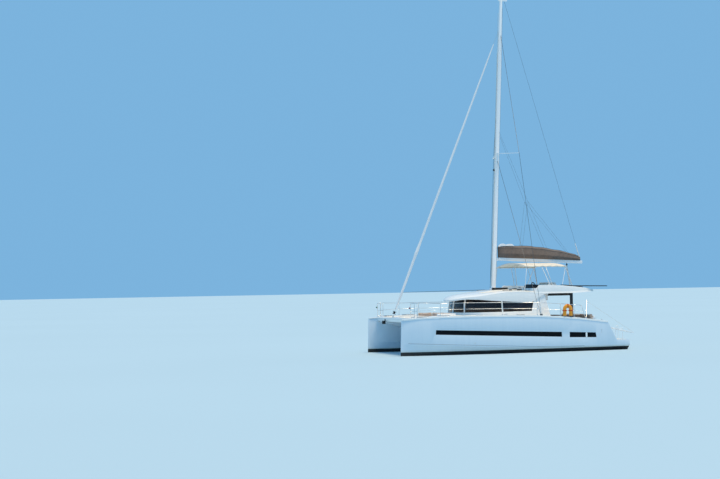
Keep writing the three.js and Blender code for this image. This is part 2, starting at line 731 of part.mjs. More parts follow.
function biminiFrame() {
  const under = BIMINI.thick + BIMINI.tube + 1.2;
  const foreX = BIMINI.fore - 40;
  const aftX = BIMINI.aft + 40;
  const dropAt = (x) => (x === foreX ? BIMINI.foreDrop : (x === aftX ? BIMINI.aftDrop : 0));
  const shares = [-0.985, -0.8, -0.5, -0.2, 0.2, 0.5, 0.8, 0.985];
  const bow = (x) => shares.map((s) => [x, s * BIMINI.half, biminiZ(s * BIMINI.half, dropAt(x)) - under]);
  const head = (x) => bow(x)[shares.length - 1];
  const coamingFoot = (x, z) => [x, at(ROOF, x, 1) - COAMING_IN - COAMING_THICK / 2, z];
  const legs = [
    [head(foreX), [-880, 1880, 2900]],
    [head(-1860), coamingFoot(-2190, 3180)], [head(-2080), coamingFoot(-2320, 3180)],
    [head(aftX), coamingFoot(-2820, 3160)], [head(aftX), coamingFoot(-3470, 3100)],
  ];
  const port = legs.map(([a, b]) => rod(a, b, BIMINI.tube, 6));
  const rail = pipe([foreX, -1860, -2080, aftX].map(head), BIMINI.tube, 6);
  const half = join(...port, rail);
  const all = join(...[foreX, -1960, aftX].map((x) => pipe(bow(x), BIMINI.tube, 6)), half, mirror(half));
  return cut(all, underRoofTop(), coamingBlock());
}

const coamingBlock = () => join(coamingSide(GAP), mirror(coamingSide(GAP)));

// Helm
const WHEEL = { x: -1790, z: 3180, radius: 255, rim: 16, tilt: 0.26 };

function wheelPlace(solid) {
  return solid.rotate([0, (WHEEL.tilt * 180) / Math.PI, 0]).translate([WHEEL.x, HELM_Y, WHEEL.z]);
}

function helmWheel() {
  const rim = new THREE.TorusGeometry(WHEEL.radius, WHEEL.rim, 8, 32);
  rim.rotateY(Math.PI / 2);
  const spoke = rod([0, 0, 0], [0, 0, WHEEL.radius], 9, 6);
  const spokes = [0, 72, 144, 216, 288].map((angle) => spoke.rotate([angle, 0, 0]));
  const hub = rod([-30, 0, 0], [120, 0, 0], 38, 16);
  return wheelPlace(join(toSolid(rim), ...spokes, hub));
}

function helmConsole() {
  const pod = sidePrism([[-1546, 2950], [-1546, 3320], [-1590, 3335], [-1596, 2950]], 640, 1460);
  const wing = [[-1570, 2950], [-1570, 3325], [-1960, 3300], [-1740, 2950]];
  const wings = [640, 1435].map((y) => sidePrism(wing, y, y + 25));
  const shaft = wheelPlace(rod([120.8, 0, 0], [260, 0, 0], 30, 16));
  return cut(join(pod, ...wings, common(shaft, box(-1700, -1560, 0, 2000, 2900, 3300))), underRoofTop());
}

function helmSeat() {
  const base = box(-2760, -2310, 480, 1620, 2900, 3240);
  const pad = box(-2770, -2300, 470, 1630, 3235, 3330);
  return cut(join(base, pad), underRoofTop());
}

// Rails along each side: x of each stanchion, the last one leaning aft, and x, y of the pulpit inboard and at
// its tip
const STANCHIONS = [5150, 4050, 2900, 950, -900, -2150, -2900, -3310];
const PULPIT = [[5150, 2340], [5400, 2480]];
const RAIL = { top: 620, pulpitTop: 700, low: 320, foot: -80, tube: 13, inboard: 80, aftLean: 240 };
const railY = (x) => topside(x) - RAIL.inboard;

function guardRail() {
  const places = [...PULPIT, ...STANCHIONS.map((x) => [x, railY(x)])];
  const rise = (x) => (x >= PULPIT[0][0] ? RAIL.pulpitTop : RAIL.top);
  const lean = (i, height) => {
    const share = (RAIL.top - height) / (RAIL.top - RAIL.foot);
    return i === places.length - 1 ? RAIL.aftLean * share : 0;
  };
  const point = ([x, y], i, height) => [x - lean(i, height), y, sheer(x) + height];
  const top = places.map((place, i) => point(place, i, rise(place[0])));
  const low = places.map((place, i) => point(place, i, RAIL.low));
  const posts = places.map((place, i) => rod(top[i], point(place, i, RAIL.foot), RAIL.tube, 6));
  return cut(join(pipe(top, RAIL.tube, 6), pipe(low, RAIL.tube * 0.7, 5), ...posts), sheerSlab(GAP, 0));
}

// Horseshoe lifebuoy on the rail, open at its foot: its arms' middle line, and half the thickness of an arm
// along the rail and across it
const BUOY = { x: -2520, z: 2045, half: 165, crown: 30, leg: -290, thick: 95, flat: 55 };

function lifebuoy() {
  const y = railY(BUOY.x + BUOY.half) + RAIL.tube * 0.7 + BUOY.flat;
  const arch = [];
  for (let i = 0; i <= 10; i += 1) {
    const t = Math.PI - (i * Math.PI) / 10;
    arch.push([BUOY.half * Math.cos(t), BUOY.crown + BUOY.half * Math.sin(t), Math.cos(t), Math.sin(t)]);
  }
  const path = [[-BUOY.half, BUOY.leg, -1, 0], ...arch, [BUOY.half, BUOY.leg, 1, 0]];
  return loft(path.map(([u, w, outU, outW]) => {
    const ring = [];
    for (let i = 0; i < 12; i += 1) {
      const t = (i * Math.PI) / 6;
      const out = BUOY.thick * Math.cos(t);
      ring.push([BUOY.x + u + outU * out, y + BUOY.flat * Math.sin(t), BUOY.z + w + outW * out]);
    }
    return ring;
  }));
}

// Fittings on deck
const STAFF = { x: -3650, y: 3080, rake: 40, top: 2520 };

function flagStaff() {
  const foot = [STAFF.x, STAFF.y, 1500];
  const pole = rod(foot, [STAFF.x - STAFF.rake, STAFF.y, STAFF.top], 11, 8);
  return cut(join(pole, rod(foot, [STAFF.x, STAFF.y, 1660], 24, 12)), sheerSlab(GAP, 0));
}

// Panels over the aft end of the flybridge: they fall a little towards the stern
const PANEL = { fore: -2830, aft: -5450, foreZ: 3222, fall: 0.0191, thick: 34, y0: 960, y1: 1960 };
const PANEL_RAILS = { fore: -2860, aft: -3950, ys: [1080, 1880], width: 40, foot: 2900 };

function solarPanel() {
  const low = (x) => PANEL.foreZ + (x - PANEL.fore) * PANEL.fall;
  const strip = (fore, aft, foot, head) => [
    [fore, foot(fore)], [aft, foot(aft)], [aft, head(aft)], [fore, head(fore)],
  ];
  const plate = strip(PANEL.fore, PANEL.aft, low, (x) => low(x) + PANEL.thick);
  const rail = strip(PANEL_RAILS.fore, PANEL_RAILS.aft, () => PANEL_RAILS.foot, (x) => low(x) + 2);
  const rails = PANEL_RAILS.ys.map((y) => sidePrism(rail, y, y + PANEL_RAILS.width));
  return cut(join(sidePrism(plate, PANEL.y0, PANEL.y1), ...rails), coamingBlock(), underRoofTop());
}

const ROLLER = { y: -1050, low: 1470, top: 1710, reach: 150, z: 1530, radius: 38 };

function anchorRoller() {
  const { y, low, top, reach, z, radius } = ROLLER;
  const face = BEAM_FRONT + GAP;
  const cheeks = [-46, 34].map((side) => box(face, BEAM_FRONT + reach, y + side, y + side + 12, low, 1640));
  const back = box(face, BEAM_FRONT + 14, y - 60, y + 60, low + 10, top);
  const roller = rod([BEAM_FRONT + 105, y - 40, z], [BEAM_FRONT + 105, y + 40, z], radius, 16);
  return join(...cheeks, back, roller);
}

// Gangway from the port steps over the platform, on two posts that stand on the lowest step
const GANGWAY = { y0: 2280, y1: 2620, foreX: -5000, foreZ: 1155, aftX: -6520, aftZ: 805, postShare: 0.07 };

function gangway() {
  const g = GANGWAY;
  const sides = [g.y0, g.y1];
  const spot = (t, y) => [g.foreX + t * (g.aftX - g.foreX), y, g.foreZ + t * (g.aftZ - g.foreZ)];
  const rails = sides.map((y) => rod(spot(0, y), spot(1, y), 20, 8));
  const rungs = [0.12, 0.3, 0.48, 0.66, 0.84, 0.97].map((t) => rod(spot(t, g.y0), spot(t, g.y1), 14, 6));
  const posts = sides.map((y) => {
    const head = spot(g.postShare, y);
    return rod(head, [head[0], y, STEPS[2][1] + GAP], 16, 8);
  });
  return join(...rails, ...rungs, ...posts);
}

const LADDER = { y0: -2720, y1: -2360, length: 740, hingeX: -6000, z: PLATFORM_Z + 16.3 };

function swimLadder() {
  const l = LADDER;
  const spot = (d, y) => [l.hingeX + d, y, l.z];
  const rails = [l.y0, l.y1].map((y) => rod(spot(0, y), spot(l.length, y), 16, 8));
  const rungs = [120, 320, 520, 720].map((d) => rod(spot(d, l.y0), spot(d, l.y1), 14, 8));
  return join(...rails, ...rungs);
}

// Cockpit, saloon and foredeck furniture
const cockpitBench = () => join(
  box(-4840, -4160, -1700, 1700, SOLE_Z + GAP, 1400), box(-4840, -4740, -1700, 1700, 1300, 1690),
);
const cockpitCushion = () => join(
  box(-4735, -4150, -1690, 1690, 1400 + GAP, 1500), box(-4738, -4600, -1690, 1690, 1450, 1775),
);
const cockpitTable = () => join(
  box(-3900, -2900, -1050, 250, 1690, 1730), box(-3480, -3320, -480, -320, SOLE_Z + GAP, 1700),
);
const saloonSofa = () => join(
  box(-300, 1950, 1050, 1750, SOLE_Z + GAP, 1430), box(-300, 1950, 1560, 1750, 1400, 1770),
  box(1400, 1950, -200, 1100, SOLE_Z + GAP, 1430),
);
const galley = () => join(
  box(-1850, 500, -1750, -1150, SOLE_Z + GAP, 1760), box(-1850, -1200, -1750, -1150, 1700, 2300),
);

// A block round the lounge's aft end and sides, set in from its well by a distance and open towards the bow
function loungeBlock(setIn, fore, low, high) {
  const l = LOUNGE;
  return box(l.x0 + setIn, fore, -l.y + setIn, l.y - setIn, low, high);
}

function foredeckSeat() {
  const l = LOUNGE;
  const open = l.x1 + 100;
  const outer = loungeBlock(2, l.seatFore, l.floor + GAP, l.back);
  return cut(outer, loungeBlock(560, open, l.floor - 50, 2100), loungeBlock(110, open, l.seat, 2100));
}

function foredeckCushion() {
  const l = LOUNGE;
  const open = l.x1 + 100;
  const outer = loungeBlock(114, l.seatFore - 20, l.seat + GAP, l.cushionBack);
  return cut(outer, loungeBlock(570, open, 1600, 2100), loungeBlock(230, open, l.cushion, 2100));
}

function aftDoor() {
  const plate = box(-3560, -2340, -1600, 1600, 2745, 2790);
  const hangers = [-3480, -2460].flatMap((x) => [-1500, 1450].map((y) => (
    box(x, x + 60, y, y + 50, 2780, 3050)
  )));
  return cut(join(plate, ...hangers), overRoof());
}

function aftPillar() {
  return cut(box(-3440, -3300, 2010, 2090, 1400, 3000), sheerSlab(GAP, 0), overRoof());
}

// Assembly
const boat = new THREE.Group();

function add(name, solid, colour, roughness = 0.4, metalness = 0) {
  const material = new THREE.MeshStandardMaterial({ color: colour, roughness, metalness });
  const mesh = new THREE.Mesh(toGeometry(solid), material);
  mesh.name = name;
  boat.add(mesh);
}

function pair(name, solid, colour, roughness, metalness) {
  add(`${name}_port`, solid, colour, roughness, metalness);
  add(`${name}_starboard`, mirror(solid), colour, roughness, metalness);
}

const glass = panes();
const C = COLOURS;

pair('hull', hullPort(), C.gelcoat, 0.25);
pair('keel', keel(), C.antifoul, 0.8);
pair('hull_window_fore', hullPane(HULL_WINDOW_FORE), C.glass, 0.1);
pair('hull_window_aft', hullPane(HULL_WINDOW_AFT), C.glass, 0.1);
add('bridge_deck', bridgeDeck(), C.gelcoat, 0.3);
add('deck', deck(), C.deck, 0.6);
add('cabin_wall', cabinWall(), C.gelcoat, 0.3);
add('glass_front', glass.front, C.glass, 0.08);
add('glass_side_port', glass.port, C.glass, 0.08);
add('glass_side_starboard', glass.starboard, C.glass, 0.08);
add('roof', roof(), C.gelcoat, 0.3);
add('flybridge_coaming', flybridgeCoaming(), C.gelcoat, 0.3);
pair('aft_pillar', aftPillar(), C.black, 0.4);
add('aft_door', aftDoor(), C.glass, 0.1);
add('cockpit_bench', cockpitBench(), C.gelcoat, 0.3);
add('cockpit_cushion', cockpitCushion(), C.cushion, 0.9);
add('cockpit_table', cockpitTable(), C.wood, 0.5);
add('saloon_sofa', saloonSofa(), C.cushion, 0.9);
add('galley_unit', galley(), C.wood, 0.5);
add('foredeck_seat', foredeckSeat(), C.gelcoat, 0.3);
add('foredeck_cushion', foredeckCushion(), C.cushion, 0.9);
add('mast', mast(), C.alloy, 0.35, 0.8);
pair('spreader', spreader(), C.alloy, 0.35, 0.8);
pair('shroud', shroud(), C.steel, 0.3, 0.9);
add('boom', boom(), C.alloy, 0.35, 0.8);
add('sail_bag', sailBag(), C.taupe, 0.9);
add('furled_jib', furledJib(), C.sail, 0.8);
add('furler_drum', furlerDrum(), C.black, 0.4);
add('bimini_frame', biminiFrame(), C.steel, 0.25, 0.9);
add('bimini_canopy', biminiCanopy(), C.canvas, 0.9);
add('helm_console', helmConsole(), C.black, 0.5);
add('helm_wheel', helmWheel(), C.steel, 0.3, 0.9);
add('helm_seat', helmSeat(), C.gelcoat, 0.5);
pair('guard_rail', guardRail(), C.steel, 0.25, 0.9);
add('lifebuoy', lifebuoy(), C.orange, 0.7);
add('flag_staff', flagStaff(), C.steel, 0.3, 0.9);
add('solar_panel', solarPanel(), C.panel, 0.2);
add('anchor_roller', anchorRoller(), C.steel, 0.3, 0.9);
add('gangway', gangway(), C.alloy, 0.35, 0.8);
add('swim_ladder', swimLadder(), C.steel, 0.25, 0.9);
pair('rudder', rudder(), C.antifoul, 0.7);
pair('saildrive', saildrive(), C.engine, 0.5, 0.5);
pair('propeller', propeller(), C.bronze, 0.35, 0.9);
pair('engine', engine(), C.engine, 0.6);
HATCHES.forEach((row) => add(row[0], lid(row), C.deck, 0.5));

export default boat;
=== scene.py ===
# Looks of a cruising sailing catamaran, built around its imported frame.
# Metres, +X to the bow, +Y to port, +Z up, origin on the waterline amidships.
import json
import math
import random

import bpy
from mathutils import Matrix, Vector
from mathutils.bvhtree import BVHTree

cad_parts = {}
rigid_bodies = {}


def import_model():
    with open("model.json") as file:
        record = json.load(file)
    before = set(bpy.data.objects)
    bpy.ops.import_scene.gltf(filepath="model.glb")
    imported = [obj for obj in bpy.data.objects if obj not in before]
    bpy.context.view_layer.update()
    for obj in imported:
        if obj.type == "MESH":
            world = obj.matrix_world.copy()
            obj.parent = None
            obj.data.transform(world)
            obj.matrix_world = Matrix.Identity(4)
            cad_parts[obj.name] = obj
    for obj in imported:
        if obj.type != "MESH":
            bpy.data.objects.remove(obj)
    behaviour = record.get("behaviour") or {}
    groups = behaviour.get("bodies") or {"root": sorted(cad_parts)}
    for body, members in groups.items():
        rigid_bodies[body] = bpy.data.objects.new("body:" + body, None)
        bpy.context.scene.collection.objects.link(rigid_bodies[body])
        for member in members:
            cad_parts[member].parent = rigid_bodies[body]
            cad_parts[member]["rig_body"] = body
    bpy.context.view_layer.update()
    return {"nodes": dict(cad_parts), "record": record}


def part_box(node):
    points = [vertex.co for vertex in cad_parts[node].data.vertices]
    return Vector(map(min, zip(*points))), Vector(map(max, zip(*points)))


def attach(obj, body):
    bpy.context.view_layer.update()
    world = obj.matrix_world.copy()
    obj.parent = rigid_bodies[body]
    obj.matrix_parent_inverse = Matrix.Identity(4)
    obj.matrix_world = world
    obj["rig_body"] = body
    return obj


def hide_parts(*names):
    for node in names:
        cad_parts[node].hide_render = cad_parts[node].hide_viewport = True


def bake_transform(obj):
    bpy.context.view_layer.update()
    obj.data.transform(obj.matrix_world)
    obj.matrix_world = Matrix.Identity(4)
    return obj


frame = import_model()

bl_info = {
    "name": "Sailing Catamaran",
    "version": (1, 0, 0),
    "blender": (4, 5, 0),
    "location": "View3D > Sidebar > Catamaran",
    "description": "Dresses the frame of a cruising sailing catamaran with its finishes, soft goods and deck gear",
    "category": "Object",
}

# Places that the frame doesn't give
MAST_FOOT = Vector((-0.02, 0, 3.12))
MAST_RAKE = 0.0507
MAST_TOP = 18.0
WHEEL_CENTRE = Vector((-1.79, 1.05, 3.18))
STAY_FOOT = Vector((5.44, 0, 1.845))
STAY_TOP_Z = 16.4
SOLE_Z = 1.0
ABOVE_ALL = 6
SIDES = ("port", "starboard")

# Topsides: the gunwale's stations, the skin fittings' x and z, and the post across the aft window
GUNWALE_XS = (-4.72, -4.1, -3.2, -2.1, -0.9, 0.3, 1.6, 2.8, 3.8, 4.6, 5.2, 5.6, 5.78)
FITTINGS = ((4.11, 1.74), (-0.15, 1.70), (-4.38, 1.02), (-4.38, 0.92), (-1.4, 0.42), (2.4, 0.55))
FITTING_PROFILE = [(0, 0), (0.034, 0), (0.03, 0.008), (0.02, 0.01), (0.016, 0.003), (0, 0.003)]
POST_XS, POST_ZS = (-3.575, -3.545, -3.51, -3.48), (0.682, 0.76, 0.84, 0.912)
# Treads of the port steps: aft and fore end, inner and outer side
TREADS = ((-4.98, -4.78, 1.905, 3.11), (-5.22, -5.02, 1.905, 3.06), (-5.93, -5.27, 1.93, 3.05),
          (-4.74, -4.54, 1.91, 3.13))

# Deck: hatches as x, y, length and width, cleats as x, y and turn, and stanchions' stations
HATCHES = ((4.75, 2.52, 0.46, 0.46), (3.72, 2.55, 0.5, 0.5), (-0.2, 2.86, 0.36, 0.28), (-3.2, 2.78, 0.34, 0.34))
CLEATS = ((5.28, 2.46, 0.1), (0.75, 3.22, 0.0), (-4.05, 3.14, 0.0), (-4.6, 2.9, 1.2))
CLEAT_HORN = [(0, -0.15), (0.009, -0.145), (0.015, -0.08), (0.017, 0), (0.015, 0.08), (0.009, 0.145), (0, 0.15)]
SOCKET_XS = (5.15, 4.05, 2.9, 0.95, -0.9, -2.15, -2.9, -3.55)
SOCKET_PROFILE = [(0, 0), (0.036, 0), (0.034, 0.008), (0.02, 0.014), (0.017, 0.06), (0, 0.06)]
# Lids that open: aft and fore edge, starboard and port edge, and the catches' x
LIDS = {
    "engine_hatch_port": (-4.36, -3.44, 2.215, 2.825, -4.27),
    "engine_hatch_starboard": (-4.36, -3.44, -2.825, -2.215, -4.27),
    "anchor_hatch": (4.35, 5.05, -0.42, 0.42, 4.96),
}
CATCH_PROFILE = [(0, 0.009), (0.03, 0.009), (0.036, 0.004), (0.036, -0.002)]
WINDLASS_PROFILE = [(0, -0.01), (0.1, -0.01), (0.105, 0.02), (0.07, 0.04), (0.062, 0.075), (0.085, 0.085),
                    (0.088, 0.11), (0.066, 0.12), (0.086, 0.13), (0.088, 0.155), (0.05, 0.165), (0.045, 0.19),
                    (0, 0.2)]

# Roof: x and z of its side's ridge and of the rolled blinds, then what stands on it
ROOF_RIDGE = ((1.1, 2.865), (0.85, 2.895), (0.5, 2.925), (0.1, 2.945), (-0.4, 2.95), (-0.9, 2.935), (-1.3, 2.905),
              (-1.7, 2.875), (-2.1, 2.875))
BLIND_LINE = ((-0.95, 2.46), (-0.6, 2.49), (-0.2, 2.53), (0.2, 2.54), (0.5, 2.555), (0.8, 2.575), (1.0, 2.595),
              (1.2, 2.61), (1.4, 2.63), (1.6, 2.645), (1.75, 2.655))
DOOR_X, DOOR_Y, DOOR_Z = (-3.565, -2.335), 1.605, (2.742, 2.793)
COAMING_RAIL_XS = (-2.78, -3.0, -3.25, -3.5, -3.75, -4.05)
ORGANISER_X, ORGANISER_Y = (-0.52, 0.3), (0.5, 0.68)
CLUTCH_BANK_YS, CLUTCHES, CLUTCH_SPACING = (0.75, 1.35), 4, 0.045
CLUTCH_X = (-0.94, -0.76)
WINCH_X = -1.12
WINCH_PROFILE = [(0, 0), (0.075, 0), (0.078, 0.02), (0.058, 0.035), (0.05, 0.07), (0.055, 0.1), (0.074, 0.11),
                 (0.074, 0.122), (0.05, 0.13), (0.074, 0.138), (0.074, 0.15), (0.03, 0.158), (0.03, 0.145),
                 (0, 0.145)]
TRACK_X, TRACK_Y = -0.3, 1.66

# Sail bag: rows of x, top, and half breadth low and high. Its foot follows the boom, and ties hold its top up
BAG_FORE, BAG_AFT = -0.31, -4.925
BAG_ROWS = ((-0.335, 5.33, 0.08, 0.035), (-0.62, 5.345, 0.14, 0.055), (-1.6, 5.335, 0.165, 0.07),
            (-2.2, 5.305, 0.165, 0.07), (-2.84, 5.23, 0.16, 0.065), (-3.8, 5.075, 0.14, 0.055),
            (-4.66, 4.855, 0.105, 0.04), (-4.93, 4.735, 0.07, 0.03))
BAG_TIES = (-0.9, -1.9, -2.9, -3.9, -4.7)
BAG_FLAT, BAG_CUT_AREA = (4.65, 1.52), 5.75
FOLDS_FLAT = (0.92, 0.52)
SHEET_X, SHEET_TOP, SHEET_RAKE = -4.35, 4.4, 0.18
SHEET_PARTS = ((-0.02, -0.018), (-0.02, 0.018), (0.02, -0.018), (0.02, 0.018))
JACK_ENDS = ((-1.6, 0.17, 5.24), (-3.0, 0.155, 5.12), (-4.3, 0.11, 4.86))
# Furled jib: rows of height and radius
JIB_FOOT, JIB_LUFF = 2.19, 13.5
JIB_ROWS = ((2.19, 0.012), (2.24, 0.045), (2.9, 0.066), (4.7, 0.072), (5.05, 0.088), (5.45, 0.068), (10.0, 0.06),
            (14.8, 0.042), (15.6, 0.026), (15.69, 0.012))

# Side lights, and the gate on the port platform as runs of x and z
LIGHT_X, LIGHT_Y, LIGHT_Z = 5.445, 2.48, 2.278
GATE_Y = 2.95
GATE = (((-5.33, 0.5), (-5.33, 1.06)), ((-5.72, 0.5), (-5.72, 1.06)), ((-5.18, 1.06), (-5.74, 1.06)),
        ((-5.33, 1.06), (-5.36, 1.17), (-5.41, 1.2), (-5.46, 1.17), (-5.47, 1.06), (-5.47, 0.5)))


def mast_axis(z):
    """The mast's middle line at a height."""
    return Vector((MAST_FOOT.x - (z - MAST_FOOT.z) * MAST_RAKE, 0, z))


def stay_point(z):
    """The headstay's line at a height."""
    top = mast_axis(STAY_TOP_Z).x + 0.08
    share = (z - STAY_FOOT.z) / (STAY_TOP_Z - STAY_FOOT.z)
    return Vector((STAY_FOOT.x + share * (top - STAY_FOOT.x), 0, z))


def tabled(rows, key):
    """The values of a table at a key, between its rows. The keys are its first column."""
    rows = sorted(rows)
    key = min(max(key, rows[0][0]), rows[-1][0])
    for a, b in zip(rows, rows[1:]):
        if key <= b[0]:
            share = (key - a[0]) / (b[0] - a[0])
            return [p + share * (q - p) for p, q in zip(a[1:], b[1:])]


rayed = {}


def surface(node, origin, direction):
    """Where a ray first meets a CAD node."""
    if node not in rayed:
        mesh = frame["nodes"][node].data
        rayed[node] = BVHTree.FromPolygons([v.co for v in mesh.vertices], [p.vertices for p in mesh.polygons])
    place = rayed[node].ray_cast(Vector(origin), Vector(direction))[0]
    if place is None:
        raise RuntimeError(f"no surface of {node} on the ray from {tuple(origin)}")
    return place


def deck_z(x, y, node="deck"):
    """Height of a CAD node's top over a place in plan."""
    return surface(node, (x, y, ABOVE_ALL), (0, 0, -1)).z


def outer_y(node, x, z):
    """Breadth of a CAD node's port side at a station and a height."""
    return surface(node, (x, ABOVE_ALL, z), (0, -1, 0)).y


def on_roof(x, y, lift):
    """A place above the roof."""
    return Vector((x, y, deck_z(x, y, "roof") + lift))


def side_deck_z(x):
    """Height of the side deck beside the gunwale."""
    return deck_z(x, 2.53 if x > 3.6 else 3.0)


def topside_y(x, z=None):
    """Half breadth of the port hull's outer side, under the gunwale or at a height."""
    return outer_y("hull_port", x, side_deck_z(x) - 0.12 if z is None else z)


def stripe_z(x):
    """Height of the painted shadow line under the chine, which falls from the bow and runs out level aft."""
    return 0.33 + 0.07 * (x + 0.1) / 1.5 if x > -0.1 else 0.26 + 0.07 * ((x + 3.4) / 3.3) ** 2


def side_edge(x):
    """Outer edge of the side deck's non-slip."""
    return topside_y(x) - 0.17


def cabin_edge(x):
    """Inner edge of the side deck's non-slip, beside the cabin."""
    return 2.47 if x < 0.2 else 2.47 - 0.3 * ((x - 0.2) / 1.6) ** 2


def lounge_edge(x):
    """Outer edge of the non-slip beside the lounge, clear of the deck hatch."""
    return side_edge(x) if x < 3.3 else 2.0


def roof_edge(x):
    """Outer edge of the non-slip on the roof, which narrows ahead."""
    return 1.7 if x < 0.3 else 1.7 - 0.5 * ((x - 0.3) / 0.85) ** 2


# Non-slip panels: aft and fore end, inner and outer edge, columns and rows
DECK_PANELS = (
    (-2.95, -1.45, 2.47, side_edge), (-0.85, 1.9, cabin_edge, side_edge, 16), (2.05, 2.6, 2.16, side_edge),
    (2.7, 3.95, 1.56, lounge_edge, 10, 5), (4.12, 4.26, 0.06, 1.9, 3, 8), (4.32, 5.36, 0.5, 1.98, 8, 6),
    (-3.35, -3.05, 2.2, side_edge, 3, 4))
ROOF_PANELS = ((-1.0, 1.15, 0.78, roof_edge, 14, 5), (-4.45, -2.9, 0.12, 1.62, 8, 8))


# Finishes
def linear(colour):
    """A linear RGBA colour from an sRGB hex value."""
    shares = [int(colour[i:i + 2], 16) / 255 for i in (1, 3, 5)]
    return [*(s / 12.92 if s <= 0.04045 else ((s + 0.055) / 1.055) ** 2.4 for s in shares), 1.0]


def add_node(tree, kind, links=None, **settings):
    """Adds a node, with its settings and its inputs as values or as sockets to link from."""
    made = tree.nodes.new(kind)
    for key, value in settings.items():
        setattr(made, key, value)
    for socket, value in (links or {}).items():
        if isinstance(value, bpy.types.NodeSocket):
            tree.links.new(value, made.inputs[socket])
        else:
            made.inputs[socket].default_value = value
    return made


def new_finish(name, colour, roughness, **sockets):
    """A material with its shader, and the place on the piece that its patterns read."""
    material = bpy.data.materials.new(name)
    material.use_nodes = True
    tree = material.node_tree
    tree.nodes.clear()
    shader = add_node(tree, "ShaderNodeBsdfPrincipled", {"Base Color": linear(colour), "Roughness": roughness})
    for socket, value in sockets.items():
        shader.inputs[socket.replace("_", " ")].default_value = value
    add_node(tree, "ShaderNodeOutputMaterial", {"Surface": shader.outputs["BSDF"]})
    return material, tree, shader, add_node(tree, "ShaderNodeTexCoord")


def noise(tree, place, scale, detail, stretch=None, **inputs):
    """Noise from 0 to 1, drawn out along an axis if stretch says so."""
    if stretch:
        place = add_node(tree, "ShaderNodeMapping", {"Vector": place, "Scale": stretch}).outputs["Vector"]
    return add_node(tree, "ShaderNodeTexNoise",
                    {"Vector": place, "Scale": scale, "Detail": detail, **inputs}).outputs["Fac"]


def bands(tree, place, scale, direction, **inputs):
    """Waves from 0 to 1 across a direction."""
    return add_node(tree, "ShaderNodeTexWave", {"Vector": place, "Scale": scale, **inputs},
                    bands_direction=direction).outputs["Fac"]


def ranged(tree, value, low, high, start=0.0, end=1.0):
    """A value that goes from low to high while another goes from start to end."""
    return add_node(tree, "ShaderNodeMapRange", {"Value": value, "From Min": start, "From Max": end, "To Min": low,
                                                 "To Max": high}).outputs["Result"]


def computed(tree, operation, first, second):
    return add_node(tree, "ShaderNodeMath", {0: first, 1: second}, operation=operation).outputs[0]


def mixed(tree, factor, low, high):
    """A colour from low to high with a factor, each a hex value or a socket."""
    ends = {key: linear(end) if isinstance(end, str) else end for key, end in ((6, low), (7, high))}
    return add_node(tree, "ShaderNodeMix", {"Factor": factor, **ends}, data_type="RGBA").outputs[2]


def feed(tree, shader, **sources):
    """Links sockets to the shader's inputs."""
    for socket, source in sources.items():
        tree.links.new(source, shader.inputs[socket.replace("_", " ")])


def relief(tree, shader, height, distance):
    """Bump of a height in metres."""
    feed(tree, shader, Normal=add_node(tree, "ShaderNodeBump", {"Height": height, "Distance": distance,
                                                                "Strength": 1.0}).outputs["Normal"])


def mottled(name, low, high, roughness, scale, detail, bump=0.0, gloss=None, stretch=None, warp=0.0, **sockets):
    """A finish that one noise varies: its colour, its relief in metres and, within two values, its roughness."""
    material, tree, shader, coordinates = new_finish(name, high, roughness, **sockets)
    spots = noise(tree, coordinates.outputs["Object"], scale, detail, stretch, Distortion=warp)
    feed(tree, shader, Base_Color=mixed(tree, spots, low, high))
    if gloss:
        feed(tree, shader, Roughness=ranged(tree, spots, *gloss))
    if bump:
        relief(tree, shader, spots, bump)
    return material


def stranded(name, low, high, roughness, scale, bump, distortion, **sockets):
    """A finish of fine slanting strands in two tones."""
    material, tree, shader, coordinates = new_finish(name, high, roughness, **sockets)
    strands = bands(tree, coordinates.outputs["Object"], scale, "DIAGONAL", Distortion=distortion)
    feed(tree, shader, Base_Color=mixed(tree, strands, low, high))
    relief(tree, shader, strands, bump)
    return material


def ribbed(name, colour):
    """A glossy band or lens of one colour, with fine ribs."""
    material, tree, shader, coordinates = new_finish(name, colour, 0.12, Coat_Weight=0.5)
    relief(tree, shader, bands(tree, coordinates.outputs["Object"], 40.0, "Z"), 0.001)
    return material


def gelcoat():
    material, tree, shader, coordinates = new_finish(
        "polished_gelcoat", "#F1F3F2", 0.2, Coat_Weight=0.35, Coat_Roughness=0.06, IOR=1.5)
    place = coordinates.outputs["Object"]
    rain = noise(tree, place, 1.0, 4.0, (9, 9, 0.7), Roughness=0.6)
    feed(tree, shader, Base_Color=mixed(tree, rain, "#F0F2F1", "#F8F9F7"), Roughness=ranged(tree, rain, 0.16, 0.26))
    relief(tree, shader, noise(tree, place, 2.2, 1.0), 0.0015)
    return material


def hull_gelcoat():
    material, tree, shader, coordinates = new_finish(
        "shade_tinted_gelcoat_over_antifouling", "#F1F3F2", 0.2, Coat_Weight=0.3, Coat_Roughness=0.08, IOR=1.5)
    place = coordinates.outputs["Object"]
    height = add_node(tree, "ShaderNodeSeparateXYZ", {"Vector": place}).outputs["Z"]
    streaks = noise(tree, place, 1.0, 5.0, (7, 7, 0.5), Roughness=0.62)
    scum = ranged(tree, height, 0.35, 0.0, 0.18, 0.3)
    # Painted shade: the topsides' white is tinted pale blue, with faint streaks, and the real scum line lies over it
    scum_over_shade_tint = mixed(tree, scum, mixed(tree, streaks, "#CDDFEC", "#D9E8F2"), "#B9BDA6")
    painted = computed(tree, "LESS_THAN", height, 0.178)
    worn = mixed(tree, noise(tree, place, 3.0, 6.0), "#0C0E10", "#23282A")
    feed(tree, shader, Base_Color=mixed(tree, painted, scum_over_shade_tint, worn), Roughness=ranged(tree, painted, 0.17, 0.82))
    relief(tree, shader, noise(tree, place, 1.6, 1.0), 0.0018)
    return material


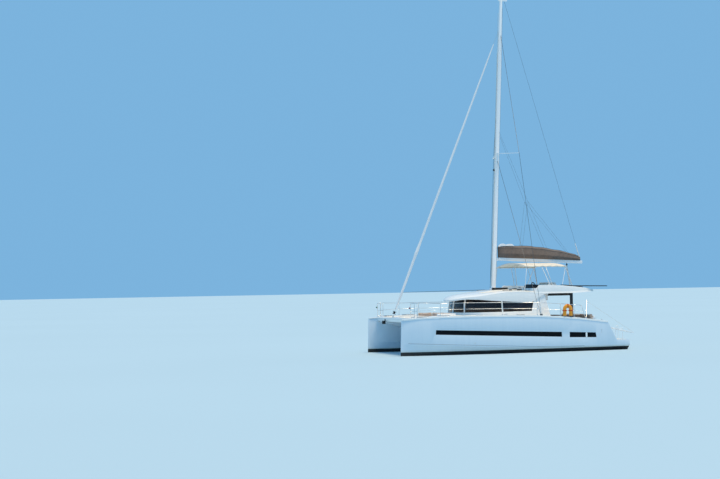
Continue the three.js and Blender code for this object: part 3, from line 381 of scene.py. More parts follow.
def moulded_nonslip():
    material, tree, shader, coordinates = new_finish("moulded_nonslip", "#E3E0D8", 0.62, IOR=1.5)
    place = coordinates.outputs["Object"]
    stains = noise(tree, place, 1.3, 7.0, Roughness=0.65)
    feed(tree, shader, Base_Color=mixed(tree, stains, "#D3D0C7", "#EDEBE4"))
    diamonds = add_node(tree, "ShaderNodeTexVoronoi", {"Vector": place, "Scale": 70.0}, distance="MANHATTAN")
    relief(tree, shader, diamonds.outputs["Distance"], 0.0016)
    return material


def woven(name, low, high, thread, coordinate="Object", fuzz=0.25, up_facing_tone=None):
    """A plain weave with its threads a given distance apart, shaded by large soft patches of wear."""
    material, tree, shader, coordinates = new_finish(name, high, 0.86, Sheen_Weight=fuzz, Sheen_Roughness=0.45)
    warp, weft = (bands(tree, coordinates.outputs[coordinate], 1 / (thread * 6.2832) * 3.1416, axis, Distortion=0.6,
                        Detail=1.0) for axis in ("X", "Y"))
    cloth = computed(tree, "MAXIMUM", warp, weft)
    wear = noise(tree, coordinates.outputs["Object"], 2.4, 6.0, Roughness=0.6)
    shade = ranged(tree, computed(tree, "MULTIPLY", cloth, wear), 0.0, 1.0, 0.1, 0.7)
    colour = mixed(tree, shade, low, high)
    # Faces that point up are mixed towards a paler colour
    if up_facing_tone:
        facing = add_node(tree, "ShaderNodeNewGeometry").outputs["Normal"]
        up = add_node(tree, "ShaderNodeSeparateXYZ", {"Vector": facing}).outputs["Z"]
        colour = mixed(tree, ranged(tree, up, 0.0, 0.6, 0.1, 1.0), colour, up_facing_tone)
    feed(tree, shader, Base_Color=colour)
    relief(tree, shader, cloth, thread * 0.25)
    return material


def bricked(name, roughness, place, tones, pitch, **sockets):
    """A finish of tiles in two tones with a third for the lines between, a width and a height apart."""
    material, tree, shader, coordinates = new_finish(name, tones[0], roughness, **sockets)
    tiles = add_node(tree, "ShaderNodeTexBrick", {
        "Vector": coordinates.outputs[place], "Color1": linear(tones[0]), "Color2": linear(tones[1]),
        "Mortar": linear(tones[2]), "Scale": 1.0, "Mortar Size": 0.004, "Brick Width": pitch[0],
        "Row Height": pitch[1]}, offset=0.0)
    feed(tree, shader, Base_Color=tiles.outputs["Color"])
    return material, tree, shader, coordinates


def sailcloth():
    material, tree, shader, coordinates = bricked(
        "laminate_sailcloth", 0.42, "UV", ("#E9ECEE", "#E2E6E9", "#C5CCD1"), (0.09, 0.9), Sheen_Weight=0.15)
    relief(tree, shader, noise(tree, coordinates.outputs["Object"], 9.0, 5.0, Distortion=1.2), 0.004)
    return material


def satin_black():
    material, tree, shader, coordinates = new_finish("satin_black", "#101113", 0.42)
    place = coordinates.outputs["Object"]
    feed(tree, shader, Base_Color=mixed(tree, noise(tree, place, 5.0, 6.0), "#0B0C0D", "#1C1E20"))
    relief(tree, shader, noise(tree, place, 160.0, 2.0), 0.0006)
    return material


FINISHES = {
    # Polyester gelcoat off a polished mould: deep gloss, with a faint wave where the laminate prints through
    "gelcoat": gelcoat,
    # The same gelcoat with painted cool shade tinting its white topsides pale blue, matt antifouling rolled on up to
    # a masked line and a thin scum line above it
    "hull": hull_gelcoat,
    # Non-slip moulded into the deck: small blunt diamonds, 14 mm apart so that they show, and a soft matt face
    "nonslip": moulded_nonslip,
    # Cast acrylic, smoked near to black and bonded flush: mirror gloss with a slight pull at its edges
    "acrylic": lambda: mottled("smoked_acrylic", "#020508", "#0A1119", 0.08, 1.2, 1.0, 0.002, IOR=1.49,
                               Specular_IOR_Level=0.1),
    # Toughened glass with a brown grey body tint, dark from outside and still clear enough to see the cabin through
    "glass": lambda: mottled("tinted_toughened_glass", "#241D22", "#3A3036", 0.02, 0.9, 3.0, IOR=1.45,
                             Transmission_Weight=0.8),
    # Extruded and anodised aluminium: satin silver grey, with die lines along the spar
    "alloy": lambda: mottled("anodised_aluminium", "#9AA4AC", "#C2C9CE", 0.34, 1.0, 3.0, 0.0004, (0.26, 0.44),
                             (90, 90, 1.4), Metallic=0.92),
    # Two-pack polyurethane sprayed over aluminium: an even white gloss, with faint die lines below it
    "paint": lambda: mottled("white_spar_paint", "#E9EDF0", "#F7F9FA", 0.26, 1.0, 3.0, 0.0003,
                             stretch=(60, 60, 1.1), Coat_Weight=0.3),
    # 1x19 stainless strand: dull grey, its lay drawn 12 mm long so that it shows
    "wire": lambda: stranded("stainless_strand", "#43474A", "#7C8184", 0.5, 26.0, 0.0008, 0.4, Metallic=0.85),
    # Electropolished 316 tube: bright, with a soft haze of salt
    "steel": lambda: mottled("polished_stainless", "#CDD0D2", "#ECEDED", 0.26, 22.0, 5.0, gloss=(0.2, 0.4),
                             Metallic=1.0),
    # Solution dyed acrylic canvas, paler on the faces that point up
    "bag": lambda: woven("taupe_acrylic_canvas", "#564A42", "#7E7068", 0.006, "UV", up_facing_tone="#948880"),
    "canvas": lambda: woven("cream_acrylic_canvas", "#E2D6BF", "#F6EEDF", 0.006, "UV"),
    # Coarse woven vinyl-coated polyester for outdoor cushions
    "cushion": lambda: woven("beige_outdoor_weave", "#B09A8A", "#D9C7B8", 0.007),
    "blind": lambda: woven("sand_blind_cloth", "#B8A78C", "#D8C9AE", 0.005, fuzz=0.1),
    "strap": lambda: woven("red_webbing", "#A5300C", "#D2480F", 0.004, fuzz=0.1),
    "vinyl": lambda: woven("white_marine_vinyl", "#D8D6D0", "#EEECE7", 0.004, fuzz=0.05),
    # Cross-cut polyester with a film face: crisp, faintly shiny, with its threads laid as a grey grid
    "sail": sailcloth,
    # Powder coated or moulded black: satin, with a fine orange peel
    "black": satin_black,
    # Oiled teak: long brown grain along X, matt between the pores
    "wood": lambda: mottled("oiled_teak", "#5E3A20", "#A9764A", 0.5, 1.0, 7.0, 0.0006, stretch=(1.6, 26, 26),
                            warp=0.8),
    # Sand cast bronze, polished by water: warm, with brown and green stains in the hollows
    "bronze": lambda: mottled("cast_bronze", "#4F5236", "#A98650", 0.38, 14.0, 7.0, 0.0012, Metallic=0.95),
    # Sprayed engine enamel: even grey with a soft gloss
    "engine": lambda: mottled("grey_enamel", "#7B8286", "#9DA3A6", 0.36, 7.0, 6.0, 0.0008),
    # Coated cloth over foam: strong orange, soft sheen, fine puckers
    "orange": lambda: mottled("orange_coated_cloth", "#E98408", "#FFAE26", 0.5, 28.0, 4.0, 0.003, Sheen_Weight=0.2),
    # Black cells under glass, 158 mm squares with thin silver lines between
    "cells": lambda: bricked("solar_cells_under_glass", 0.12, "Object", ("#0A0F1E", "#101832", "#8E98A3"),
                             (0.158, 0.158), Coat_Weight=0.6)[0],
    # Double braid polyester: a herringbone of strands that runs round the rope
    "rope": lambda: stranded("white_braid", "#B9B6AB", "#E2E0D8", 0.78, 24.0, 0.002, 4.0, Sheen_Weight=0.2),
    "dark_rope": lambda: stranded("grey_braid", "#2C2F33", "#55595E", 0.78, 24.0, 0.002, 4.0, Sheen_Weight=0.2),
    # A grey-blue line of painted shade along the chine, and the ribbed coloured lenses of the side lights
    "chine_shadow_paint": lambda: ribbed("painted_chine_shadow", "#5B6B77"),
    "red_lens": lambda: ribbed("red_lens", "#B3141A"),
    "green_lens": lambda: ribbed("green_lens", "#0F7A4A"),
    # Matt floor paint, even and pale
    "floor": lambda: mottled("pale_studio_floor", "#ABC7D7", "#B1CDDD", 0.6, 0.04, 2.0),
}
# Slots of the record for finishes whose slot has another name
SLOTS = {"chine_shadow_paint": "black", "nonslip": "deck", "alloy": "spar", "acrylic": "glass", "wire": "steel",
         "blind": "cushion", "rope": "sailcloth", "dark_rope": "sailcloth", "vinyl": "gelcoat", "cells": "panel",
         "sail": "sailcloth", "strap": "orange", "red_lens": "orange", "green_lens": "glass"}
made_finishes = {}


def finish_of(key):
    if key not in made_finishes:
        made_finishes[key] = FINISHES[key]()
    return made_finishes[key]


# Shaping
def deselect():
    if bpy.context.object and bpy.context.object.mode != "OBJECT":
        bpy.ops.object.mode_set(mode="OBJECT")
    bpy.ops.object.select_all(action="DESELECT")


def pick(*pieces):
    deselect()
    for piece in pieces:
        piece.select_set(True)
    bpy.context.view_layer.objects.active = pieces[-1]


def apply_modifier(piece, kind, **settings):
    pick(piece)
    modifier = piece.modifiers.new("shape", kind)
    for key, value in settings.items():
        setattr(modifier, key, value)
    bpy.ops.object.modifier_apply(modifier=modifier.name)


def edit(piece, *steps):
    """Runs edit mode operators on the whole mesh, each given as a function."""
    pick(piece)
    bpy.ops.object.mode_set(mode="EDIT")
    bpy.ops.mesh.select_mode(type="VERT")
    bpy.ops.mesh.select_all(action="SELECT")
    for step in steps:
        step()
    bpy.ops.object.mode_set(mode="OBJECT")
    return piece


def outward():
    bpy.ops.mesh.remove_doubles(threshold=1e-5)
    bpy.ops.mesh.normals_make_consistent(inside=False)


def edit_faces(piece, wanted, *steps):
    """Runs edit mode operators on the faces that a test of centre and normal picks."""
    pick(piece)
    bpy.ops.object.mode_set(mode="EDIT")
    bpy.ops.mesh.select_mode(type="FACE")
    bpy.ops.mesh.select_all(action="DESELECT")
    bpy.ops.object.mode_set(mode="OBJECT")
    for face in piece.data.polygons:
        face.select = wanted(face.center, face.normal)
    bpy.ops.object.mode_set(mode="EDIT")
    for step in steps:
        step()
    bpy.ops.object.mode_set(mode="OBJECT")


def block(low, high, bevel=0.01, segments=2):
    """A block with eased edges."""
    low, high = Vector(low), Vector(high)
    deselect()
    bpy.ops.mesh.primitive_cube_add(size=1, location=(low + high) / 2)
    piece = bpy.context.object
    piece.scale = high - low
    bpy.ops.object.transform_apply(location=True, rotation=False, scale=True)
    if bevel:
        apply_modifier(piece, "BEVEL", width=bevel, segments=segments, limit_method="ANGLE")
    return piece


def turn_profile(profile, place, axis=(0, 0, 1), steps=24):
    """A profile of radius and height, spun about an axis through a place."""
    mesh = bpy.data.meshes.new("profile")
    mesh.from_pydata([(r, 0, z) for r, z in profile], [(i, i + 1) for i in range(len(profile) - 1)], [])
    piece = bpy.data.objects.new("turned", mesh)
    bpy.context.scene.collection.objects.link(piece)
    edit(piece,
         lambda: bpy.ops.mesh.spin(steps=steps, angle=2 * math.pi, center=(0, 0, 0), axis=(0, 0, 1)),
         lambda: bpy.ops.mesh.select_all(action="SELECT"), outward)
    turned = Vector((0, 0, 1)).rotation_difference(Vector(axis)).to_matrix().to_4x4()
    piece.data.transform(Matrix.Translation(Vector(place)) @ turned)
    return piece


def tubes(runs, radius, closed=False, sides=3):
    """Round rods or ropes along runs of points, in one mesh with capped ends."""
    curve = bpy.data.curves.new("run", "CURVE")
    curve.dimensions = "3D"
    curve.bevel_depth = radius
    curve.bevel_resolution = sides
    curve.use_fill_caps = True
    for run in runs:
        spline = curve.splines.new("POLY")
        spline.points.add(len(run) - 1)
        for point, place in zip(spline.points, run):
            point.co = (*place, 1)
        spline.use_cyclic_u = closed
    piece = bpy.data.objects.new("run", curve)
    bpy.context.scene.collection.objects.link(piece)
    pick(piece)
    bpy.ops.object.convert(target="MESH")
    return bpy.context.object


def arc(centre, radius, start, end, steps, across=(1, 0, 0), up=(0, 0, 1)):
    """Points on an arc, with its angles in degrees from across towards up."""
    angles = [math.radians(start + (end - start) * i / steps) for i in range(steps + 1)]
    return [Vector(centre) + radius * (math.cos(a) * Vector(across) + math.sin(a) * Vector(up)) for a in angles]


def sheet_of(place, columns, rows, size=(1, 1)):
    """A sheet whose points come from a function of two shares, with a UV map in metres."""
    deselect()
    bpy.ops.mesh.primitive_grid_add(x_subdivisions=columns, y_subdivisions=rows, size=1, calc_uvs=True)
    piece = bpy.context.object
    for vertex in piece.data.vertices:
        vertex.co = place(vertex.co.x + 0.5, vertex.co.y + 0.5)
    for corner in piece.data.uv_layers.active.data:
        corner.uv = (corner.uv[0] * size[0], corner.uv[1] * size[1])
    return piece


def joined(*pieces):
    pick(*pieces)
    bpy.ops.object.join()
    return bpy.context.object


def mirrored(piece):
    """A copy of a piece on the other side of the centreline."""
    copy = piece.copy()
    copy.data = piece.data.copy()
    bpy.context.scene.collection.objects.link(copy)
    copy.data.transform(Matrix.Scale(-1, 4, (0, 1, 0)))
    edit(copy, lambda: bpy.ops.mesh.flip_normals())
    return copy


def settle(piece, name, finish, body="root", smooth=35, stands_for=(), slot=None):
    """Finishes a piece: its place goes into its mesh, and it gets its name, finish and body, if it has one body."""
    pick(piece)
    bpy.ops.object.transform_apply(location=True, rotation=True, scale=True)
    if smooth:
        bpy.ops.object.shade_smooth_by_angle(angle=math.radians(smooth))
    piece.name = piece.data.name = name
    piece.data.materials.clear()
    piece.data.materials.append(finish_of(finish))
    if body:
        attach(piece, body)
    slot or SLOTS.get(finish, finish)
    if stands_for:
        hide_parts(*stands_for)
    return piece


def refined(node, finish, bevel=0.006, smooth=32, segments=2, slot=None, flat=0.3):
    """A copy of a rigid CAD node with its doubles merged, its edges eased and its curves smooth."""
    source = frame["nodes"][node]
    piece = bpy.data.objects.new(node + "_skin", source.data.copy())
    bpy.context.scene.collection.objects.link(piece)
    edit(piece, lambda: bpy.ops.mesh.remove_doubles(threshold=1e-5),
         lambda: bpy.ops.mesh.dissolve_limited(angle_limit=math.radians(flat)))
    if bevel:
        apply_modifier(piece, "BEVEL", width=bevel, segments=segments, limit_method="ANGLE",
                       angle_limit=math.radians(smooth), use_clamp_overlap=True)
    slots = {row["node"]: row["material_slot"] for row in frame["record"]["subparts"]}
    return settle(piece, node + "_skin", finish, source["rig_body"], smooth + 8, (node,), slot or slots[node])


def laid(rows, lift, thickness, node, side=None):
    """A thin panel laid on a CAD node: rows of plan points, or of x and z points on the port topside."""
    columns = len(rows[0]) - 1
    count = len(rows) - 1

    def place(u, v):
        i, j = round(u * columns), round(v * count)
        a, b = rows[j][i]
        if side:
            return Vector((a, outer_y(node, a, b) + lift, b))
        return Vector((a, b, deck_z(a, b, node) + lift))

    piece = sheet_of(place, columns, count)
    if side:
        edit(piece, lambda: bpy.ops.mesh.flip_normals())
    apply_modifier(piece, "SOLIDIFY", thickness=thickness, offset=1)
    return piece


def panel_rows(x0, x1, inner, outer, columns=10, rows=4):
    """Plan points of a panel between two edges, each a breadth or a function of x."""
    xs = [x0 + (x1 - x0) * i / columns for i in range(columns + 1)]
    near, far = ([edge(x) if callable(edge) else edge for x in xs] for edge in (inner, outer))
    return [[(x, a + (b - a) * j / rows) for x, a, b in zip(xs, near, far)] for j in range(rows + 1)]


def stuffed(low, high, corner, seed, voxel=0.022, pressure=3.2, cap=0.02, frames=14):
    """A crowned pad: an eased block, remeshed, blown up as cloth, with its growth capped."""
    low, high = Vector(low), Vector(high)
    shrink = Vector((1, 1, 1)) * 0.007
    piece = block(low + shrink, high - shrink, corner, 3)
    thin = min(high - low)
    apply_modifier(piece, "REMESH", mode="VOXEL", voxel_size=min(voxel, thin / 3.2))
    start = [vertex.co.copy() for vertex in piece.data.vertices]
    pick(piece)
    cloth = piece.modifiers.new("swell", "CLOTH")
    cloth.settings.quality = 4
    cloth.settings.use_pressure = True
    cloth.settings.uniform_pressure_force = pressure
    cloth.settings.effector_weights.gravity = 0
    cloth.settings.tension_stiffness = 22
    cloth.settings.compression_stiffness = 12
    cloth.settings.bending_stiffness = 0.6
    for number in range(1, frames + 1):
        bpy.context.scene.frame_set(number)
    bpy.ops.object.modifier_apply(modifier=cloth.name)
    bpy.context.scene.frame_set(1)
    middle = (low + high) / 2
    half = (high - low) / 2
    dice = random.Random(seed)
    tone = [dice.uniform(-1, 1) for _ in range(6)]
    for vertex, rest in zip(piece.data.vertices, start):
        move = vertex.co - rest
        if move.length > cap:
            move *= cap / move.length
        vertex.co = rest + move
        share = [(vertex.co[k] - middle[k]) / half[k] for k in range(3)]
        ripple = math.sin(3.1 * share[0] + tone[0] * 3) * math.sin(2.3 * share[1] + tone[1] * 3)
        vertex.co += 0.0016 * ripple * (vertex.co - middle).normalized()
        for k in range(3):
            vertex.co[k] = min(max(vertex.co[k], low[k] - 0.004), high[k] + 0.006)
    apply_modifier(piece, "SUBSURF", levels=1, render_levels=1)
    return piece


def piping(low, high, corner, axis, radius=0.005):
    """Welts round the two faces of a pad, across its thin axis."""
    low, high = Vector(low), Vector(high)
    others = [k for k in range(3) if k != axis]
    runs = []
    for level in (low[axis] + corner * 0.55, high[axis] - corner * 0.55):
        run = []
        for cx, cy, start in ((1, 1, 0), (0, 1, 90), (0, 0, 180), (1, 0, 270)):
            for step in range(5):
                angle = math.radians(start + step * 22.5)
                point = Vector((0, 0, 0))
                for k, c, wave in ((others[0], cx, math.cos(angle)), (others[1], cy, math.sin(angle))):
                    edge = high[k] - corner if c else low[k] + corner
                    point[k] = edge + (corner - 0.004) * wave
                point[axis] = level
                run.append(point)
        runs.append(run)
    return tubes(runs, radius, closed=True, sides=1)


def pad(name, low, high, seed, finish="cushion", corner=0.03, stands_for=()):
    """A stuffed pad with a welt round each face."""
    size = [b - a for a, b in zip(low, high)]
    axis = size.index(min(size))
    soft = settle(stuffed(low, high, corner, seed), name, finish, smooth=0, stands_for=stands_for)
    pick(soft)
    bpy.ops.object.shade_smooth()
    settle(piping(low, high, corner, axis), name + "_welt", finish, smooth=60)


# Pieces, from the water up
def refine(*rows):
    """Refined CAD nodes: a row is a node, with {} for its side if it has two, then what refined() takes."""
    for node, *settings in rows:
        for side in SIDES if "{}" in node else ("",):
            refined(node.format(side), *settings)


def pair(piece, name, finish, smooth=35):
    """Settles a piece of the port side, and its mirror image."""
    settle(mirrored(piece), name + "_starboard", finish, smooth=smooth)
    settle(piece, name + "_port", finish, smooth=smooth)


def nonslip(panels, node):
    """Thin panels of non-slip laid on a CAD node, in one piece."""
    return joined(*[laid(panel_rows(*panel), 0.0004, 0.004, node) for panel in panels])


def dress_hulls():
    """Hulls and keels with their windows, gunwale beads, painted shadow lines under the chines and skin fittings."""
    refine(("hull_{}", "hull", 0.009, 28), ("keel_{}", "hull", 0.012, 30),
           ("hull_window_fore_{}", "acrylic", 0.002, 30, 1), ("hull_window_aft_{}", "acrylic", 0.002, 30, 1))
    gunwale = [Vector((x, topside_y(x), side_deck_z(x) - 0.07)) for x in GUNWALE_XS]
    pair(tubes([gunwale], 0.015, sides=2), "gunwale_bead", "gelcoat")
    post = laid([[(x, z) for x in POST_XS] for z in POST_ZS], 0.0, 0.004, "hull_window_aft_port", side=True)
    pair(post, "window_post", "gelcoat")
    fittings = [turn_profile(FITTING_PROFILE, (x, topside_y(x, z) - 0.003, z), (0, 1, 0), 16) for x, z in FITTINGS]
    pair(joined(*fittings), "skin_fittings", "steel")
    # Painted shadow: a thin grey-blue tube along each topside stands for the shade under the chine
    stations = [5.6 - step * 0.1 for step in range(91)]
    stripe = [Vector((x, topside_y(x, stripe_z(x)), stripe_z(x))) for x in stations]
    pair(tubes([stripe], 0.0065, sides=1), "hull_pinstripe", "chine_shadow_paint")


def dress_steps():
    """Non-slip on the treads of the steps."""
    treads = [laid(panel_rows(x0, x1, y0 + 0.05, y1 - 0.09, 6, 6), 0.0005, 0.005, "hull_port")
              for x0, x1, y0, y1 in TREADS]
    pair(joined(*treads), "step_treads", "nonslip")


def hatch_frame(x, y, length, width):
    """A flush deck hatch: an alloy frame and its acrylic lid."""
    half = Vector((length / 2, width / 2, 0))
    place, inset = Vector((x, y, deck_z(x, y))), Vector((0.035, 0.035, 0))
    rim = block(place - half - Vector((0, 0, 0.01)), place + half + Vector((0, 0, 0.022)), 0.012, 3)
    lid = block(place - half + inset, place + half - inset + Vector((0, 0, 0.029)), 0.006)
    return rim, lid


def cleat(x, y, turn):
    """A horn cleat on two feet."""
    horn = turn_profile(CLEAT_HORN, (0, 0, 0.062), (1, 0, 0), 12)
    feet = [block((k - 0.022, -0.018, -0.004), (k + 0.022, 0.018, 0.06), 0.008) for k in (-0.045, 0.045)]
    whole = joined(horn, *feet)
    whole.data.transform(Matrix.Translation((x, y, deck_z(x, y))) @ Matrix.Rotation(turn, 4, "Z"))
    return whole


def dress_deck():
    """Decks with their non-slip, the roof's non-slip, hatches and cleats."""
    refine(("deck", "gelcoat", 0.008, 30), ("bridge_deck", "gelcoat", 0.012, 30))
    pair(nonslip(ROOF_PANELS, "roof"), "roof_nonslip", "nonslip")
    pair(nonslip(DECK_PANELS, "deck"), "deck_nonslip", "nonslip")
    rims, lids = zip(*[hatch_frame(*row) for row in HATCHES])
    pair(joined(*rims), "hatch_rims", "alloy")
    pair(joined(*lids), "hatch_lids", "acrylic")
    pair(joined(*[cleat(*row) for row in CLEATS]), "cleats", "steel")


def dress_lids():
    """The lids that open, with their grip panels and catches."""
    for node, (x0, x1, y0, y1, x) in LIDS.items():
        refined(node, "gelcoat", 0.004, 30)
        grip = nonslip([(x0 + 0.05, x1 - 0.05, y0 + 0.05, y1 - 0.05, 6, 6)], node)
        settle(grip, node + "_grip", "nonslip", node)
        catches = []
        for y in (y0 + 0.14, y1 - 0.14):
            z = deck_z(x, y, node)
            catches.append(turn_profile(CATCH_PROFILE, (x, y, z), steps=20))
            catches.append(block((x - 0.022, y - 0.006, z), (x + 0.022, y + 0.006, z + 0.012), 0.003))
        settle(joined(*catches), node + "_catches", "steel", node)


def chain_link(place, turned):
    """One link of the anchor chain."""
    deselect()
    bpy.ops.mesh.primitive_torus_add(location=(0, 0, 0), major_segments=12, minor_segments=6, major_radius=0.017,
                                     minor_radius=0.005)
    link = bpy.context.object
    link.data.transform(Matrix.Translation(place) @ Matrix.Rotation(math.pi / 2 if turned else 0, 4, "X")
                        @ Matrix.Scale(1.5, 4, (1, 0, 0)))
    return link


def dress_locker():
    """Windlass with its gypsy, and the chain that leads forward and down from it."""
    floor = deck_z(4.7, 0.1, "bridge_deck")
    settle(turn_profile(WINDLASS_PROFILE, (4.68, 0, floor), steps=32), "windlass", "steel")
    motor = block((4.5, -0.07, floor - 0.005), (4.6, 0.07, floor + 0.12), 0.02, 3)
    settle(motor, "windlass_motor", "black")
    taut = [(4.76 + 0.034 * k, 0.078, floor + 0.12) for k in range(9)]
    heap = [(4.86 - 0.02 * (k % 5), -0.16 - 0.022 * (k // 5), floor + 0.012 + 0.012 * (k % 2)) for k in range(20)]
    links = [chain_link(Vector(place), k % 2 == 1) for run in (taut, heap) for k, place in enumerate(run)]
    settle(joined(*links), "anchor_chain", "wire", smooth=60)


def dress_cabin():
    """Cabin walls, glass, roof and pillars, the stored door with its tracks, and the rolled blinds."""
    refine(("cabin_wall", "gelcoat", 0.006, 32), ("glass_front", "glass", 0.002, 40, 1),
           ("glass_side_{}", "glass", 0.002, 40, 1), ("roof", "gelcoat", 0.02, 30, 3),
           ("flybridge_coaming", "gelcoat", 0.03, 30, 3), ("aft_pillar_{}", "black", 0.01, 30, 3),
           ("aft_door", "glass", 0.004, 30))
    rails = [((DOOR_X[0], y0), (DOOR_X[1], y1)) for y0, y1 in ((-DOOR_Y, -1.53), (-0.04, 0.04), (1.53, DOOR_Y))]
    rails += [((x0, -DOOR_Y), (x1, DOOR_Y)) for x0, x1 in ((DOOR_X[0], -3.49), (-2.41, DOOR_X[1]))]
    bars = [block((*low, DOOR_Z[0]), (*high, DOOR_Z[1]), 0.006) for low, high in rails]
    settle(joined(*bars), "aft_door_frame", "black")
    crease = tubes([[(x, outer_y("roof", x, z) - 0.006, z) for x, z in ROOF_RIDGE]], 0.012)
    pair(crease, "roof_crease", "gelcoat")
    under = surface("roof", (-2.95, 1.635, 2.6), (0, 0, 1)).z
    pair(block((-3.6, 1.61, 2.78), (-2.3, 1.665, under + 0.01), 0.008), "door_track", "black")
    rolled = [surface("glass_side_port", (x, 0, z), (0, 1, 0)) - Vector((0, 0.05, 0)) for x, z in BLIND_LINE]
    pair(tubes([rolled], 0.036, sides=4), "window_blind", "blind")


def coaming_out(x):
    """Outer face of the flybridge coaming, near its top."""
    inside = outer_y("roof", x, 2.92) - 0.12
    return outer_y("flybridge_coaming", x, deck_z(x, inside, "flybridge_coaming") - 0.05)


def dress_coaming():
    """Black cap and hand rail along the flybridge coaming."""
    rows = panel_rows(-1.6, -2.72, lambda x: coaming_out(x) - 0.118, lambda x: coaming_out(x) - 0.03, 14, 3)
    pair(laid(rows, -0.002, 0.02, "flybridge_coaming"), "coaming_cap", "black")
    plan = [(x, coaming_out(x) - 0.075) for x in COAMING_RAIL_XS]
    top = [Vector((x, y, deck_z(x, y, "flybridge_coaming") + 0.035)) for x, y in plan]
    ends = [top[0] + Vector((0.05, 0, -0.045)), *top, top[-1] + Vector((-0.05, 0, -0.045))]
    feet = [[point, point - Vector((0, 0, 0.045))] for point in top[1:-1:2]]
    pair(joined(tubes([ends], 0.014), tubes(feet, 0.01, sides=2)), "coaming_rail", "black")


def dress_roof_gear():
    """Halyards led aft over the roof: organiser cover, clutches and winches ahead of the helm. Sheet tracks."""
    (x0, x1), (y0, y1) = ORGANISER_X, ORGANISER_Y
    low = deck_z(x0, y1, "roof") - 0.01
    cover = block((x0, y0, low), (x1, y1, low + 0.11), 0.025, 3)
    edit_faces(cover, lambda centre, normal: normal.z > 0.9,
               lambda: bpy.ops.mesh.inset(thickness=0.02), lambda: bpy.ops.transform.translate(value=(0, 0, -0.012)))
    settle(cover, "organiser_cover", "black")
    aft, fore = CLUTCH_X
    bodies, levers, lines = [], [], []
    for bank_y in CLUTCH_BANK_YS:
        for k in range(CLUTCHES):
            y = bank_y + (k - (CLUTCHES - 1) / 2) * CLUTCH_SPACING
            z = deck_z((aft + fore) / 2, y, "roof") - 0.004
            bodies.append(block((aft, y - 0.018, z), (fore, y + 0.018, z + 0.062), 0.008))
            levers.append(block((aft + 0.03, y - 0.011, z + 0.058), (fore + 0.015, y + 0.011, z + 0.074), 0.005))
            turns = ((-0.1, 0.1 + 0.008 * k), (x0 + 0.02, y0 + 0.03 + 0.03 * k), (fore, y), (aft - 0.06, y))
            lines.append([on_roof(ax + (bx - ax) * step / 6, ay + (by - ay) * step / 6, 0.03)
                          for (ax, ay), (bx, by) in zip(turns, turns[1:]) for step in range(6)])
    settle(joined(*bodies), "rope_clutches", "black")
    settle(joined(*levers), "clutch_levers", "paint", slot="gelcoat")
    settle(tubes(lines[::2], 0.006, sides=2), "led_halyards_white", "rope")
    settle(tubes(lines[1::2], 0.006, sides=2), "led_halyards_grey", "dark_rope")
    winches = [turn_profile(WINCH_PROFILE, on_roof(WINCH_X, y, -0.012), steps=28) for y in CLUTCH_BANK_YS]
    settle(joined(*winches), "halyard_winches", "steel")
    top = deck_z(TRACK_X, TRACK_Y, "roof")
    track = block((-0.75, 1.62, top - 0.012), (0.2, 1.655, top + 0.014), 0.005)
    car = block((-0.3, 1.6, top + 0.012), (-0.17, 1.675, top + 0.05), 0.014, 3)
    pair(joined(track, car), "sheet_track", "black")


def dress_inside():
    """The saloon and cockpit: sole, furniture, cushions and table."""
    sole = block((-4.72, -1.74, SOLE_Z - 0.002), (2.0, 1.74, SOLE_Z + 0.008), 0)
    settle(sole, "saloon_sole", "wood", smooth=0)
    settle(block((-1.86, -1.76, 1.757), (0.51, -1.14, 1.795), 0.01), "galley_worktop", "wood")
    refine(("galley_unit", "gelcoat", 0.012, 30, 3), ("saloon_sofa", "gelcoat", 0.03, 30, 3, "cushion"),
           ("cockpit_bench", "gelcoat", 0.02, 30, 3), ("cockpit_table", "wood", 0.012, 30, 3))
    for index, y in enumerate((-1.12, 0.0, 1.12)):
        pad(f"cockpit_seat_{index}", (-4.6, y - 0.55, 1.401), (-4.155, y + 0.55, 1.5), 10 + index,
            stands_for=("cockpit_cushion",) if index == 0 else ())
        pad(f"cockpit_back_{index}", (-4.735, y - 0.55, 1.46), (-4.61, y + 0.55, 1.772), 20 + index)
    for index, x in enumerate((-0.02, 0.56, 1.13)):
        pad(f"sofa_seat_{index}", (x - 0.27, 1.06, 1.431), (x + 0.27, 1.55, 1.5), 30 + index)


def dress_foredeck():
    """The lounge in the foredeck: seats, and stuffed cushions with welts."""
    refined("foredeck_seat", "gelcoat", 0.02, 30, 3)
    base, low, high = 1.6605, 1.774, 1.988
    for index, sign in enumerate((-1, 1)):
        def lounge_pad(place, x0, x1, near, far, z0, z1, seed, stands_for=()):
            y0, y1 = sorted((near * sign, far * sign))
            pad(f"lounge_{place}_{index}", (x0, y0, z0), (x1, y1, z1), seed + index, stands_for=stands_for)

        lounge_pad("seat_aft", 2.89, 3.21, 0.01, 1.21, base, low, 40, () if index else ("foredeck_cushion",))
        lounge_pad("back_aft", 2.768, 2.882, 0.01, 1.21, low - 0.02, high, 50)
        lounge_pad("seat_side", 3.225, 3.595, 0.885, 1.212, base, low, 60)
        lounge_pad("back_side", 2.9, 3.595, 1.222, 1.332, low - 0.02, high, 70)


